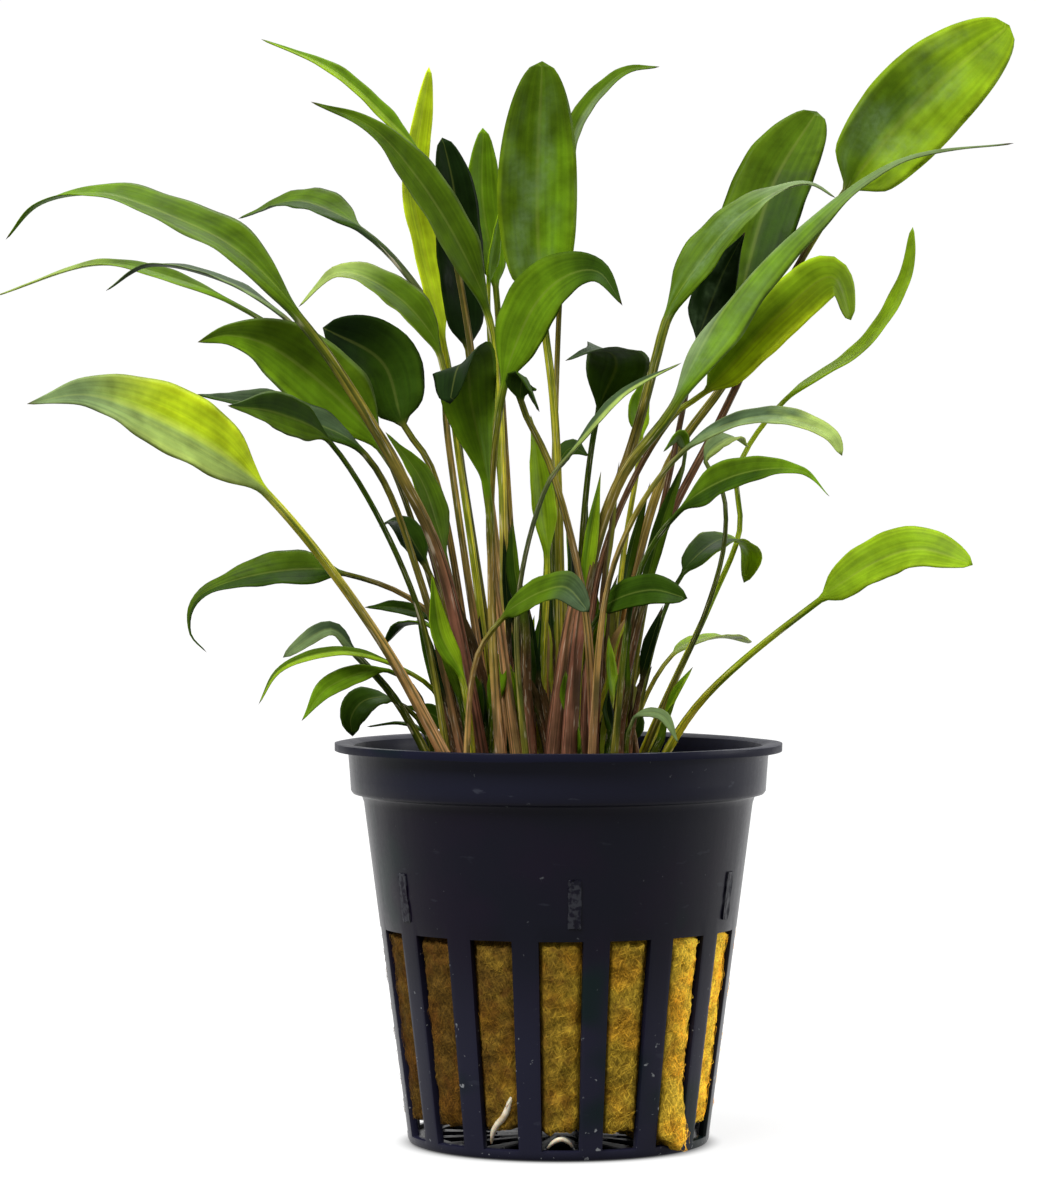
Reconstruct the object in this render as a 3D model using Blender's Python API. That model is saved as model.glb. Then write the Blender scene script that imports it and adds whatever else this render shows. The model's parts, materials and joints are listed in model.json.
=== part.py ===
"""Potted cryptocoryne: long-stalked leaves rooted in a rock-wool plug inside a slotted net pot."""

import math
from typing import NamedTuple

import bmesh
import bpy
from mathutils import Quaternion, Vector

# Sizes are in millimetres and angles in degrees; the meshes are written in metres
MILLIMETRE = 0.001

# Net pot
RIM_DIAMETER = 55.0
POT_HEIGHT = 49.0
WALL = 0.9
COLLAR_TOP_DIAMETER = 51.8
COLLAR_BOTTOM_DIAMETER = 51.0
COLLAR_HEIGHT = 5.7
COLLAR_SIDES = 32
BODY_TOP_DIAMETER = 48.2
FOOT_DIAMETER = 37.0
FOOT_ROUNDING = 0.6
SLOT_COUNT = 16
SLOT_ANGLE = 14.0
SLOT_TURN = 0.3
SLOT_BOTTOM = 1.2
SLOT_TOP = 26.5
FLOOR_SLOT_INNER_DIAMETER = 15.0
FLOOR_SLOT_OUTER_DIAMETER = 30.0
COLUMNS_PER_SLOT = 3
SLOTTED_ROWS = (0, 4)

# Gap that is kept between two pieces
GAP = 0.35

# Rock wool and roots
WOOL_BOTTOM = 3.5
WOOL_TOP = 42.0
WOOL_SIDES = 32
ROOT_RADIUS = 0.4
ROOT_POINTS_PER_SPAN = 4

# Leaves
BLADE_HALF_THICKNESS = 0.26
TIP_HALF_THICKNESS = 0.14
STALK_TAPER = 0.2
FLATTENING_SHARE = 0.3
LARGE_LEAF_LENGTH = 18.0
LARGE_LEAF_RINGS = (5, 10)
SMALL_LEAF_RINGS = (4, 8)
POINTS_PER_SPAN = 12

# The eye looks at the pot from the front, level with the leaves
EYE_DISTANCE = 561.0
EYE_ACROSS = -4.9
EYE_HEIGHT = 78.2

SHADES = {
    "dark": (0.018, 0.062, 0.008),
    "middle": (0.055, 0.16, 0.012),
    "bright": (0.19, 0.36, 0.018),
    "yellow": (0.42, 0.52, 0.03),
    "grey": (0.13, 0.21, 0.10),
}


class Leaf(NamedTuple):
    """One leaf. The base is where it leaves the wool, (across, depth) in the pot's own frame.

    The stalk's and the blade's points are (across, depth, height) as the eye sees them against
    the pot's axis; the blade's first is the foot of the blade. The turn says how far the upper
    side is turned from the eye, about the midrib, at foot, middle and tip.
    """

    name: str
    shade: str
    base: tuple
    stalk: tuple
    blade: tuple
    width: float
    turn: tuple
    fold: float = 14.0
    tip: str = "pointed"
    stalk_radius: float = 0.5


LEAVES = (
    # Upper left
    Leaf("leaf_upper_left_1", "middle",
         base=(-8.4, -8), stalk=((-14.5, -11, 71.4), (-19.4, -13, 81.9), (-27.4, -14, 95.2)),
         blade=((-31.3, -14, 100.4), (-39.3, -13, 109.3), (-47, -11, 113.4), (-56.3, -8, 116.4),
                (-63.7, -5, 115.2), (-68, -2, 110.8)),
         width=8.4, turn=(48, 56, 70), stalk_radius=0.8),
    Leaf("leaf_upper_left_2", "bright",
         base=(-4.5, 4), stalk=((-8.5, 6, 80), (-13, 7, 110)),
         blade=((-16.4, 7, 120), (-21.9, 5, 126.5), (-28, 3, 131.7), (-36.6, 0, 135.5)),
         width=3.8, turn=(60, 65, 75)),
    Leaf("leaf_upper_left_3", "grey",
         base=(-6.5, 1), stalk=((-6.8, 1.5, 78), (-7.5, 1.5, 94)),
         blade=((-8.5, 1.2, 101), (-12.4, -0.8, 110.4), (-17.5, -3, 118.5), (-23.1, -6, 124.6),
                (-30.5, -9, 127.8)),
         width=6.4, turn=(40, 45, 60), stalk_radius=0.6),
    Leaf("leaf_upper_left_4", "yellow",
         base=(-7.7, 7), stalk=((-9.5, 9, 64), (-12.5, 12, 86)),
         blade=((-14.1, 13, 97.9), (-16.9, 15, 111), (-17.9, 15, 117), (-15.9, 14, 132.1)),
         width=4.6, turn=(45, 42, 40), tip="round"),
    Leaf("leaf_upper_left_5", "dark",
         base=(-5.3, 10), stalk=((-7.1, 11, 66.5), (-9.6, 12, 85)),
         blade=((-11.1, 12, 97.3), (-12.3, 12, 108), (-12.9, 11, 117), (-14.3, 10, 123.4)),
         width=6.6, turn=(25, 25, 25), tip="blunt"),
    Leaf("leaf_upper_left_6", "middle",
         base=(-6, 12.5), stalk=((-11.5, 15, 80), (-14.8, 17, 100), (-19, 20.5, 107)),
         blade=((-24, 24, 111.8), (-31.7, 30, 115.5), (-39.4, 37, 113.4)),
         width=6.8, turn=(58, 46, 34), stalk_radius=0.55),
    Leaf("leaf_upper_left_7", "middle",
         base=(-7, -1), stalk=((-13.7, 4, 87.4),),
         blade=((-14.5, 6, 96.4), (-19.4, 8, 103.4), (-26.8, 9, 106.7), (-32, 8, 102.5)),
         width=6.5, turn=(40, 45, 60)),
    Leaf("leaf_upper_left_8", "grey",
         base=(-8.5, 9), stalk=((-22, 14, 86), (-31.7, 17, 97.5)),
         blade=((-39.7, 19, 102.8), (-46.5, 22, 105.7), (-56.3, 27, 107.8), (-69.2, 34, 103.9)),
         width=3.4, turn=(45, 62, 55), stalk_radius=0.4),
    Leaf("leaf_upper_left_9", "grey",
         base=(-9, 6.5), stalk=((-19, 8, 82), (-30.5, 9, 97.9)),
         blade=((-33.6, 9, 101.2), (-41, 12, 105.7), (-50.2, 15, 107.6), (-55.7, 19, 104.5)),
         width=3.5, turn=(70, 72, 85), stalk_radius=0.4),
    # Left
    Leaf("leaf_left_1", "dark",
         base=(-10, -2), stalk=((-15.7, -4, 73.9),),
         blade=((-21.5, -5, 84.6), (-26.8, -6, 91), (-35.6, -9, 97.7), (-40.6, -12, 99), (-44.4, -15, 98.2)),
         width=9.6, turn=(18, 24, 35), stalk_radius=0.6),
    Leaf("leaf_left_2", "grey",
         base=(-10.5, -6.5), stalk=((-17, -9, 69),),
         blade=((-23.7, -11, 84.3), (-33, -14, 89.3), (-44.6, -23, 91.8)),
         width=6.0, turn=(55, 62, 75)),
    Leaf("leaf_left_3", "middle",
         base=(-12.5, -10.5), stalk=((-17.6, -12, 66.5),),
         blade=((-28, -15, 85.8), (-34.2, -22, 89.3), (-40.7, -31, 90.4)),
         width=5.5, turn=(45, 50, 60), stalk_radius=0.4),
    Leaf("leaf_left_4", "dark",
         base=(-8.5, 2.5), stalk=((-15.5, 0, 82.5),),
         blade=((-19, 0, 88), (-21.6, 0, 95.6), (-29, -4, 100)),
         width=9.2, turn=(0, 15, 30), fold=20, tip="round"),
    Leaf("leaf_left_5", "middle",
         base=(-8, -5.8), stalk=((-12, -5, 62),),
         blade=((-13.9, -5, 71.4), (-17, -5, 81.3), (-21.3, -6, 87.2)),
         width=5.0, turn=(50, 50, 50)),
    Leaf("leaf_left_6", "dark",
         base=(-9.5, 4), stalk=((-12.5, 3.6, 60),),
         blade=((-16.4, 4, 70.8), (-20, 5.5, 76.1), (-22.1, 7, 75.5)),
         width=4.6, turn=(40, 40, 40)),
    # Lower left
    Leaf("leaf_lower_left_1", "bright",
         base=(-10, -9.5), stalk=(),
         blade=((-11.8, -12, 56.7), (-14.5, -13, 62.5), (-15.6, -14, 69.8)),
         width=2.7, turn=(20, 20, 20)),
    Leaf("leaf_lower_left_2", "yellow",
         base=(-10.5, -14.5), stalk=((-21.9, -20, 61.6),),
         blade=((-35.6, -26, 79.3), (-43.8, -30, 86.1), (-57.4, -35, 91.6), (-65.4, -40, 90.6)),
         width=9.4, turn=(35, 40, 60), stalk_radius=0.65),
    Leaf("leaf_lower_left_3", "middle",
         base=(-9, -4), stalk=((-15.1, -6, 64),),
         blade=((-26.2, -7, 69.7), (-36.7, -8, 69.6), (-44.5, -9, 66.5), (-45.3, -10, 62.5),
                (-43.2, -11, 60)),
         width=6.5, turn=(45, 50, 70), tip="drawn out", stalk_radius=0.4),
    Leaf("leaf_lower_left_4", "dark",
         base=(-11.5, 0.5), stalk=((-13.5, -1, 58),),
         blade=((-15.5, -2, 63.8), (-19.5, -5, 65.4), (-23.9, -8, 65.6)),
         width=2.5, turn=(70, 70, 70), stalk_radius=0.35),
    Leaf("leaf_lower_left_5", "dark",
         base=(-11.5, 2.8), stalk=((-13.5, 3, 58),),
         blade=((-15.5, 4, 63.1), (-19, 7, 63.4), (-21.9, 10, 60.4)),
         width=3.0, turn=(60, 60, 60), stalk_radius=0.35),
    Leaf("leaf_lower_left_6", "grey",
         base=(-13, -7.5), stalk=((-20, -10, 54.2),),
         blade=((-25.3, -12, 60.2), (-27.9, -12.8, 62.9), (-33.9, -15.5, 59.4)),
         width=2.3, turn=(40, 55, 60), tip="round", stalk_radius=0.55),
    Leaf("leaf_lower_left_7", "bright",
         base=(-12, -4.5), stalk=((-14.5, -7.5, 54.2),),
         blade=((-19.4, -12, 58.1), (-26.5, -15, 60.1), (-34.2, -19, 57.9), (-36.9, -21, 53.6)),
         width=2.0, turn=(65, 65, 70), stalk_radius=0.35),
    Leaf("leaf_lower_left_8", "middle",
         base=(-14.5, -5), stalk=((-17, -8, 54.5),),
         blade=((-20.9, -11, 57.8), (-28, -16, 55.9), (-31.6, -22, 51.6)),
         width=2.9, turn=(45, 50, 55), stalk_radius=0.35),
    Leaf("leaf_lower_left_9", "dark",
         base=(-14, -2.5), stalk=((-17, -4, 51.5),),
         blade=((-20.4, -5, 54.2), (-24, -7, 54), (-25.6, -8.5, 51.8), (-25.3, -9, 49.7)),
         width=4.0, turn=(78, 50, 5), tip="blunt", stalk_radius=0.35),
    Leaf("leaf_lower_left_10", "dark",
         base=(-12.5, -0.8), stalk=(),
         blade=((-12.9, -1.5, 49.5), (-15.1, -2, 52.1), (-18.8, -4, 53.5)),
         width=2.8, turn=(40, 40, 40), stalk_radius=0.35),
    Leaf("leaf_lower_left_11", "dark",
         base=(-13, 4.5), stalk=(),
         blade=((-16.4, 5, 50.1), (-19.4, 7, 51.3), (-23.6, 9, 50.9)),
         width=1.3, turn=(60, 60, 60), stalk_radius=0.3),
    # Centre
    Leaf("leaf_centre_1", "middle",
         base=(-3.4, 13), stalk=((-5.3, 14, 66.5), (-6.9, 15, 91)),
         blade=((-7.7, 15, 105), (-9.4, 16, 116), (-9.3, 15, 124.6)),
         width=5.3, turn=(30, 30, 30), tip="round"),
    Leaf("leaf_centre_2", "bright",
         base=(-3, 7.5), stalk=((-7.5, 9, 85),),
         blade=((-8.6, 9, 105.1), (-8, 9, 110), (-7.1, 8, 115.1)),
         width=3.2, turn=(65, 65, 65), stalk_radius=0.35),
    Leaf("leaf_centre_3", "middle",
         base=(0.5, -2), stalk=((0, -1, 79), (-0.6, 0, 91)),
         blade=((-2, 0, 103), (-2.6, 0, 115), (-2.0, -2, 132.8)),
         width=9.9, turn=(5, 0, 0), fold=8, tip="blunt", stalk_radius=0.6),
    Leaf("leaf_centre_4", "bright",
         base=(-4.4, -7), stalk=((-6.8, -7.6, 60), (-8.4, -9, 76)),
         blade=((-6.8, -10.6, 92.3), (-2.8, -14, 102.8), (1.2, -17, 106.4), (5, -20, 106.8),
                (7.9, -22, 102.7)),
         width=7.6, turn=(-20, -38, -75), stalk_radius=0.6),
    Leaf("leaf_centre_5", "bright",
         base=(-6.5, -10), stalk=((-8, -11.4, 60),),
         blade=((-8.6, -13.8, 78.8), (-10.8, -16.4, 91), (-11.3, -18.5, 95.4), (-12.3, -21, 95),
                (-13.3, -22.5, 90.6)),
         width=8.0, turn=(215, 195, 190), tip="spoon", stalk_radius=0.6),
    Leaf("leaf_centre_6", "dark",
         base=(4.4, -10), stalk=((3.2, -11.8, 66), (-1, -12.4, 83)),
         blade=((-4.6, -13, 91), (-4.2, -14.5, 93.8), (-2.3, -16, 89.6)),
         width=4.2, turn=(0, -20, -40), stalk_radius=0.5),
    Leaf("leaf_centre_7", "bright",
         base=(-2, -3.6), stalk=((-1.8, -5, 60),),
         blade=((-1.4, -6.5, 71.5), (-2.2, -7.2, 80), (-3.4, -8, 89.3)),
         width=3.6, turn=(35, 35, 35)),
    Leaf("leaf_centre_8", "dark",
         base=(2, 3), stalk=((3.1, 1, 76.3),),
         blade=((4.9, 0, 89.6), (7.2, -6, 95.8), (5, -12, 97.3), (0.8, -14, 95.9)),
         width=8.0, turn=(180, 180, 180), stalk_radius=0.45),
    Leaf("leaf_centre_9", "bright",
         base=(5, 8), stalk=((8, 7.5, 72),),
         blade=((10.1, 7, 86.2), (9.7, 7, 89.9), (10.7, 6, 94.5)),
         width=3.2, turn=(30, 30, 30), stalk_radius=0.4),
    Leaf("leaf_centre_10", "grey",
         base=(-3.5, -12), stalk=((-5, -13, 66), (-1.2, -15, 81)),
         blade=((1.5, -15.5, 84.5), (8, -17, 91.8), (15.2, -19, 95.7)),
         width=2.1, turn=(-55, -60, -65), stalk_radius=0.35),
    Leaf("leaf_centre_11", "dark",
         base=(1.5, 6.5), stalk=((-0.6, 4, 70),),
         blade=((0, 3, 82.5), (1.5, 3, 85.1), (3.8, 2, 84.2)),
         width=3.0, turn=(-45, -45, -45), stalk_radius=0.35),
    Leaf("leaf_centre_12", "middle",
         base=(-11.5, -12), stalk=((-10, -14, 59.5),),
         blade=((-6.8, -16, 64.3), (-4.1, -18, 66.4), (-1.6, -20, 67.6), (1, -23, 68), (3.8, -27, 65)),
         width=4.3, turn=(-40, -60, -70), tip="round", stalk_radius=0.4),
    # Upper right
    Leaf("leaf_upper_right_1", "bright",
         base=(-1.2, 5), stalk=((-0.6, 6, 79), (0.2, 7, 104)),
         blade=((1.2, 7, 117), (2.5, 7, 125), (8, 4, 131.3), (12.5, 1, 132.1)),
         width=4.2, turn=(-60, -62, -75), stalk_radius=0.4),
    Leaf("leaf_upper_right_2", "dark",
         base=(4, 10.5), stalk=((13, 12.5, 82), (21.3, 14.5, 95)),
         blade=((22.2, 15, 102), (26.3, 19, 117.2), (31.8, 25, 126.6)),
         width=10.4, turn=(-15, -10, -5), tip="blunt", stalk_radius=0.65),
    Leaf("leaf_upper_right_3", "middle",
         base=(-1.6, -6), stalk=((2.1, -5, 66.5), (8.9, -1, 85), (12.3, 2, 97.3)),
         blade=((13.2, 3, 100.6), (16.5, 4, 106.6), (22.8, 6, 114), (30.4, 6, 117.7),
                (34.2, 5, 115.9)),
         width=7.0, turn=(-40, -48, -78), stalk_radius=0.75),
    Leaf("leaf_upper_right_4", "middle",
         base=(6.5, 12.5), stalk=((11, 13, 70), (20.2, 15, 89.3), (28.5, 17, 105.9)),
         blade=((35.3, 18, 116.8), (44.8, 21, 128.2), (55.5, 24, 137.2)),
         width=12.3, turn=(10, 5, 0), fold=8, tip="blunt", stalk_radius=0.55),
    Leaf("leaf_upper_right_5", "grey",
         base=(0.8, -9), stalk=((3, -9.5, 66), (7.6, -8, 81.3)),
         blade=((14, -6, 89.9), (20.5, -4, 102.2), (29.8, -3, 112.3), (42.1, -4, 120.7),
                (56.1, -7, 122.7)),
         width=7.6, turn=(-45, -60, -80), fold=-38, tip="drawn out", stalk_radius=0.8),
    Leaf("leaf_upper_right_6", "dark",
         base=(5, 5.5), stalk=((13.8, 8.5, 82.5),),
         blade=((17.1, 9.5, 97.9), (20, 10, 106), (23, 10, 111.8)),
         width=5.6, turn=(-20, -20, -20), stalk_radius=0.45),
    Leaf("leaf_upper_right_7", "bright",
         base=(2.5, -4.5), stalk=((5.5, -3.5, 72), (14, -2, 89)),
         blade=((18.1, -1, 92.1), (27.3, 2, 101.6), (33.6, 4, 106.2), (36, 6, 100.9)),
         width=6.8, turn=(-25, -20, 0), tip="blunt", stalk_radius=0.45),
    Leaf("leaf_upper_right_8", "bright",
         base=(8.5, 12.2), stalk=((13.2, 13, 54.2), (18.9, 14.5, 66.5), (22.3, 17, 75.1), (22.1, 19, 82.5)),
         blade=((27.9, 23, 91.1), (37.7, 27, 97.7), (42.9, 30, 106.3), (43.6, 32, 112.4)),
         width=3.9, turn=(-65, -65, -62), tip="round", stalk_radius=0.4),
    # Lower right
    Leaf("leaf_lower_right_1", "grey",
         base=(3.4, -12), stalk=((7, -13, 71.4),),
         blade=((15.6, -15, 85), (25, -19, 89), (33.3, -25, 86.8), (34.9, -27, 84.2)),
         width=3.5, turn=(-60, -68, -80), tip="round", stalk_radius=0.4),
    Leaf("leaf_lower_right_2", "middle",
         base=(6, -11), stalk=((10, -12, 70),),
         blade=((14.8, -14, 77.3), (21.4, -20, 81.6), (29.8, -29, 82.4), (33.4, -36, 79.2)),
         width=5.4, turn=(-50, -62, -80), tip="drawn out", stalk_radius=0.4),
    Leaf("leaf_lower_right_3", "grey",
         base=(8.5, 2), stalk=((14.4, 2, 56.7), (17.5, 2, 63.4), (20.4, 2.5, 73.3), (20.2, 3, 80)),
         blade=((18.1, 4, 83.5), (21.2, 6, 86.4), (23.4, 9, 85.3)),
         width=4.0, turn=(-30, -30, -30), stalk_radius=0.35),
    Leaf("leaf_lower_right_4", "middle",
         base=(7, 4.8), stalk=((12, 6, 72),),
         blade=((15.6, 6.5, 84.5), (14.8, 5.5, 86.8), (12.9, 4, 84.7)),
         width=1.9, turn=(20, 20, 20), stalk_radius=0.3),
    Leaf("leaf_lower_right_5", "dark",
         base=(8, -0.5), stalk=((12, 1, 62),),
         blade=((15.3, 4, 69.7), (20.2, 10, 73.9), (23.4, 15, 72.4), (22.8, 17, 68.6)),
         width=5.0, turn=(-30, -35, -25), tip="round", stalk_radius=0.35),
    Leaf("leaf_lower_right_6", "dark",
         base=(2, -6.8), stalk=((2.8, -7.9, 58),),
         blade=((5.2, -10, 65), (11.3, -15.4, 67.7), (15.9, -18.6, 66.7)),
         width=4.2, turn=(-50, -50, -50), tip="round", stalk_radius=0.35),
    Leaf("leaf_lower_right_7", "bright",
         base=(7.5, 9), stalk=((10.5, 11, 54),),
         blade=((14, 14, 59.7), (19.3, 24, 61.9), (23.6, 36, 61.2)),
         width=3.8, turn=(-48, -48, -48), tip="round", stalk_radius=0.35),
    Leaf("leaf_lower_right_8", "bright",
         base=(10, 0.5), stalk=((17.5, -2, 54),),
         blade=((32.2, -6, 66.5), (39.6, -8, 71.4), (44.5, -10, 72.7), (51, -13, 70.8)),
         width=6.4, turn=(-30, -35, -50), tip="round", stalk_radius=0.5),
    Leaf("leaf_lower_right_9", "grey",
         base=(8, -9), stalk=(),
         blade=((9.3, -10.5, 52), (12.6, -11, 52.3), (14.8, -12, 48.8)),
         width=1.7, turn=(-50, -50, -50), stalk_radius=0.3),
)

# How the blade's width grows towards its widest place and falls off to the tip, and the share
# of its length over which its foot widens out of the stalk
OUTLINES = {
    "pointed": (0.65, 0.95, 0.28),
    "round": (0.55, 0.6, 0.12),
    "blunt": (0.42, 0.5, 0.12),
    "drawn out": (0.6, 2.2, 0.22),
    "spoon": (1.2, 0.5, 0.3),
}

# Six points round a stalk or blade: along its width, and out of its upper side
SECTION = ((1, 0.5), (0, 1), (-1, 0.5), (-1, -0.5), (0, -1), (1, -0.5))
STALK_SECTION_WIDTH = 0.87


def clear_scene():
    for obj in list(bpy.data.objects):
        bpy.data.objects.remove(obj, do_unlink=True)


def plain_material(name, colour, roughness):
    material = bpy.data.materials.new(name)
    material.use_nodes = True
    shader = material.node_tree.nodes["Principled BSDF"]
    shader.inputs["Base Color"].default_value = (*colour, 1)
    shader.inputs["Roughness"].default_value = roughness
    shader.inputs["Metallic"].default_value = 0
    return material


def add_object(name, bm, material, sharp_angle, parent):
    """Turns the bmesh, in millimetres, into a named object in metres."""
    bmesh.ops.scale(bm, vec=Vector((1, 1, 1)) * MILLIMETRE, verts=bm.verts)
    mesh = bpy.data.meshes.new(name)
    bm.to_mesh(mesh)
    bm.free()
    mesh.materials.append(material)
    mesh.shade_smooth()
    mesh.set_sharp_from_angle(angle=math.radians(sharp_angle))
    obj = bpy.data.objects.new(name, mesh)
    bpy.context.scene.collection.objects.link(obj)
    obj.parent = parent
    return obj


def body_radius(height):
    """Outer radius of the tapered body below the collar."""
    body_top = POT_HEIGHT - COLLAR_HEIGHT
    share = (height - FOOT_ROUNDING) / (body_top - FOOT_ROUNDING)
    return (FOOT_DIAMETER + (BODY_TOP_DIAMETER - FOOT_DIAMETER) * share) / 2


def column_angles():
    """Directions of the pot's mesh columns: both sides of each slot, and the middle of each rib."""
    pitch = 360 / SLOT_COUNT
    angles = []
    for slot in range(SLOT_COUNT):
        middle = -90 + SLOT_TURN + slot * pitch
        angles += [middle - SLOT_ANGLE / 2, middle + SLOT_ANGLE / 2, middle + pitch / 2]
    return [math.radians(angle) for angle in angles]


def add_pot_part(name, rows, columns, material, parent, has_floor=False, slotted_rows=()):
    """An outer skin of rows and columns of faces, with the slots left out, given its wall."""
    bm = bmesh.new()
    grid = [
        [bm.verts.new((radius * math.cos(angle), radius * math.sin(angle), height)) for angle in columns]
        for radius, height in rows
    ]
    if has_floor:
        bm.faces.new(reversed(grid[0]))
    for row in range(len(rows) - 1):
        for column in range(len(columns)):
            if row in slotted_rows and column % COLUMNS_PER_SLOT == 0:
                continue
            after = (column + 1) % len(columns)
            bm.faces.new((grid[row][column], grid[row][after], grid[row + 1][after], grid[row + 1][column]))
    part = add_object(name, bm, material, 35, parent)
    wall = part.modifiers.new("wall", "SOLIDIFY")
    wall.thickness = WALL * MILLIMETRE
    wall.offset = -1
    wall.use_even_offset = True


def add_net_pot(parent):
    """The slotted body, and the collar with its rim as a ring of its own just outside the body's top."""
    step_height = POT_HEIGHT - COLLAR_HEIGHT - WALL
    step_run = (COLLAR_BOTTOM_DIAMETER - BODY_TOP_DIAMETER) / 2
    body_rows = (
        (FLOOR_SLOT_INNER_DIAMETER / 2, 0),
        (FLOOR_SLOT_OUTER_DIAMETER / 2, 0),
        (FOOT_DIAMETER / 2 - FOOT_ROUNDING, 0),
        (FOOT_DIAMETER / 2, FOOT_ROUNDING),
        (body_radius(SLOT_BOTTOM), SLOT_BOTTOM),
        (body_radius(SLOT_TOP), SLOT_TOP),
        (BODY_TOP_DIAMETER / 2, step_height),
    )
    collar_rows = (
        (BODY_TOP_DIAMETER / 2 + GAP, step_height + WALL / 2 * GAP / step_run),
        (COLLAR_BOTTOM_DIAMETER / 2, step_height + WALL / 2),
        (COLLAR_TOP_DIAMETER / 2, POT_HEIGHT - WALL),
        (RIM_DIAMETER / 2, POT_HEIGHT - WALL),
    )
    collar_columns = [math.tau * side / COLLAR_SIDES for side in range(COLLAR_SIDES)]
    plastic = plain_material("black plastic", (0.012, 0.012, 0.018), 0.4)
    add_pot_part("net_pot_body", body_rows, column_angles(), plastic, parent, True, SLOTTED_ROWS)
    add_pot_part("net_pot_collar", collar_rows, collar_columns, plastic, parent)


def add_rockwool_plug(parent):
    """A tapered plug that follows the inside of the pot, a little clear of it."""
    bm = bmesh.new()
    rings = []
    for height in (WOOL_BOTTOM, WOOL_TOP):
        radius = body_radius(height) - WALL - GAP
        ring = bmesh.ops.create_circle(bm, segments=WOOL_SIDES, radius=radius, cap_ends=True)["verts"]
        bmesh.ops.translate(bm, vec=(0, 0, height), verts=ring)
        rings.append(ring)
    edges = [edge for edge in bm.edges if len(edge.link_faces) == 1]
    bmesh.ops.bridge_loops(bm, edges=edges)
    bmesh.ops.recalc_face_normals(bm, faces=bm.faces)
    add_object("rockwool_plug", bm, plain_material("rock wool", (0.30, 0.21, 0.035), 0.95), 50, parent)


def add_root(name, points, material, parent):
    """A root as a thin round tube on a smooth line through its points."""
    line = smooth_line([Vector(point) for point in points], ROOT_POINTS_PER_SPAN)
    curve = bpy.data.curves.new(name, "CURVE")
    curve.dimensions = "3D"
    curve.bevel_depth = ROOT_RADIUS * MILLIMETRE
    curve.bevel_resolution = 1
    curve.use_fill_caps = True
    spline = curve.splines.new("POLY")
    spline.points.add(len(line) - 1)
    for point, place in zip(spline.points, line):
        point.co = (*(place * MILLIMETRE), 1)
    curve.materials.append(material)
    root = bpy.data.objects.new(name, curve)
    bpy.context.scene.collection.objects.link(root)
    root.parent = parent


def in_slot(slot, across, height, depth=0.0):
    """A point in the slot counted from the front, across and up it, pushed in by depth."""
    middle = math.radians(-90 + SLOT_TURN + slot * 360 / SLOT_COUNT)
    outward = Vector((math.cos(middle), math.sin(middle), 0))
    sideways = Vector((-math.sin(middle), math.cos(middle), 0))
    radius = body_radius(height) - ROOT_RADIUS - depth
    return outward * radius + sideways * across + Vector((0, 0, height))


def in_space(seen):
    """Moves a point along the line of sight from the plane of the pot's axis to its depth."""
    across, depth, height = seen
    spread = (EYE_DISTANCE + depth) / EYE_DISTANCE
    return Vector((
        EYE_ACROSS + (across - EYE_ACROSS) * spread,
        depth,
        EYE_HEIGHT + (height - EYE_HEIGHT) * spread,
    ))


def smooth_line(points, per_span):
    """A smooth line through all the points, with per_span points along each stretch."""
    times = [0.0]
    for before, after in zip(points, points[1:]):
        times.append(times[-1] + math.sqrt((after - before).length))
    slopes = [(after - before) / (end - start)
              for before, after, start, end in zip(points, points[1:], times, times[1:])]
    tangents = [slopes[0]]
    for index in range(1, len(points) - 1):
        left = times[index] - times[index - 1]
        right = times[index + 1] - times[index]
        tangents.append((slopes[index] * left + slopes[index - 1] * right) / (left + right))
    tangents.append(slopes[-1])
    line = []
    for index in range(len(points) - 1):
        span = times[index + 1] - times[index]
        for step in range(per_span):
            t = step / per_span
            line.append(
                points[index] * (2 * t**3 - 3 * t**2 + 1)
                + tangents[index] * (t**3 - 2 * t**2 + t) * span
                + points[index + 1] * (3 * t**2 - 2 * t**3)
                + tangents[index + 1] * (t**3 - t**2) * span
            )
    line.append(points[-1])
    return line


def evenly(line, count):
    """Points spaced evenly along the line, both ends included."""
    lengths = [0.0]
    for before, after in zip(line, line[1:]):
        lengths.append(lengths[-1] + (after - before).length)
    spaced = []
    index = 0
    for step in range(count):
        target = lengths[-1] * step / (count - 1)
        while index < len(line) - 2 and lengths[index + 1] < target:
            index += 1
        share = (target - lengths[index]) / (lengths[index + 1] - lengths[index])
        spaced.append(line[index].lerp(line[index + 1], share))
    return spaced


def eased(value):
    value = min(max(value, 0.0), 1.0)
    return value * value * (3 - 2 * value)


def turn_at(turn, along):
    """The blade's turn at a share of its length, from those at foot, middle and tip."""
    foot, middle, tip = turn
    if along < 0.5:
        return foot + (middle - foot) * along * 2
    return middle + (tip - middle) * (along * 2 - 1)


def outline_at(tip, along):
    """The blade's width at a share of its length, 1 at the widest place."""
    rise, fall, foot = OUTLINES[tip]
    widest = rise / (rise + fall)
    most = widest**rise * (1 - widest) ** fall
    return along**rise * (1 - along) ** fall / most * math.sqrt(eased(along / foot))


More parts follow.
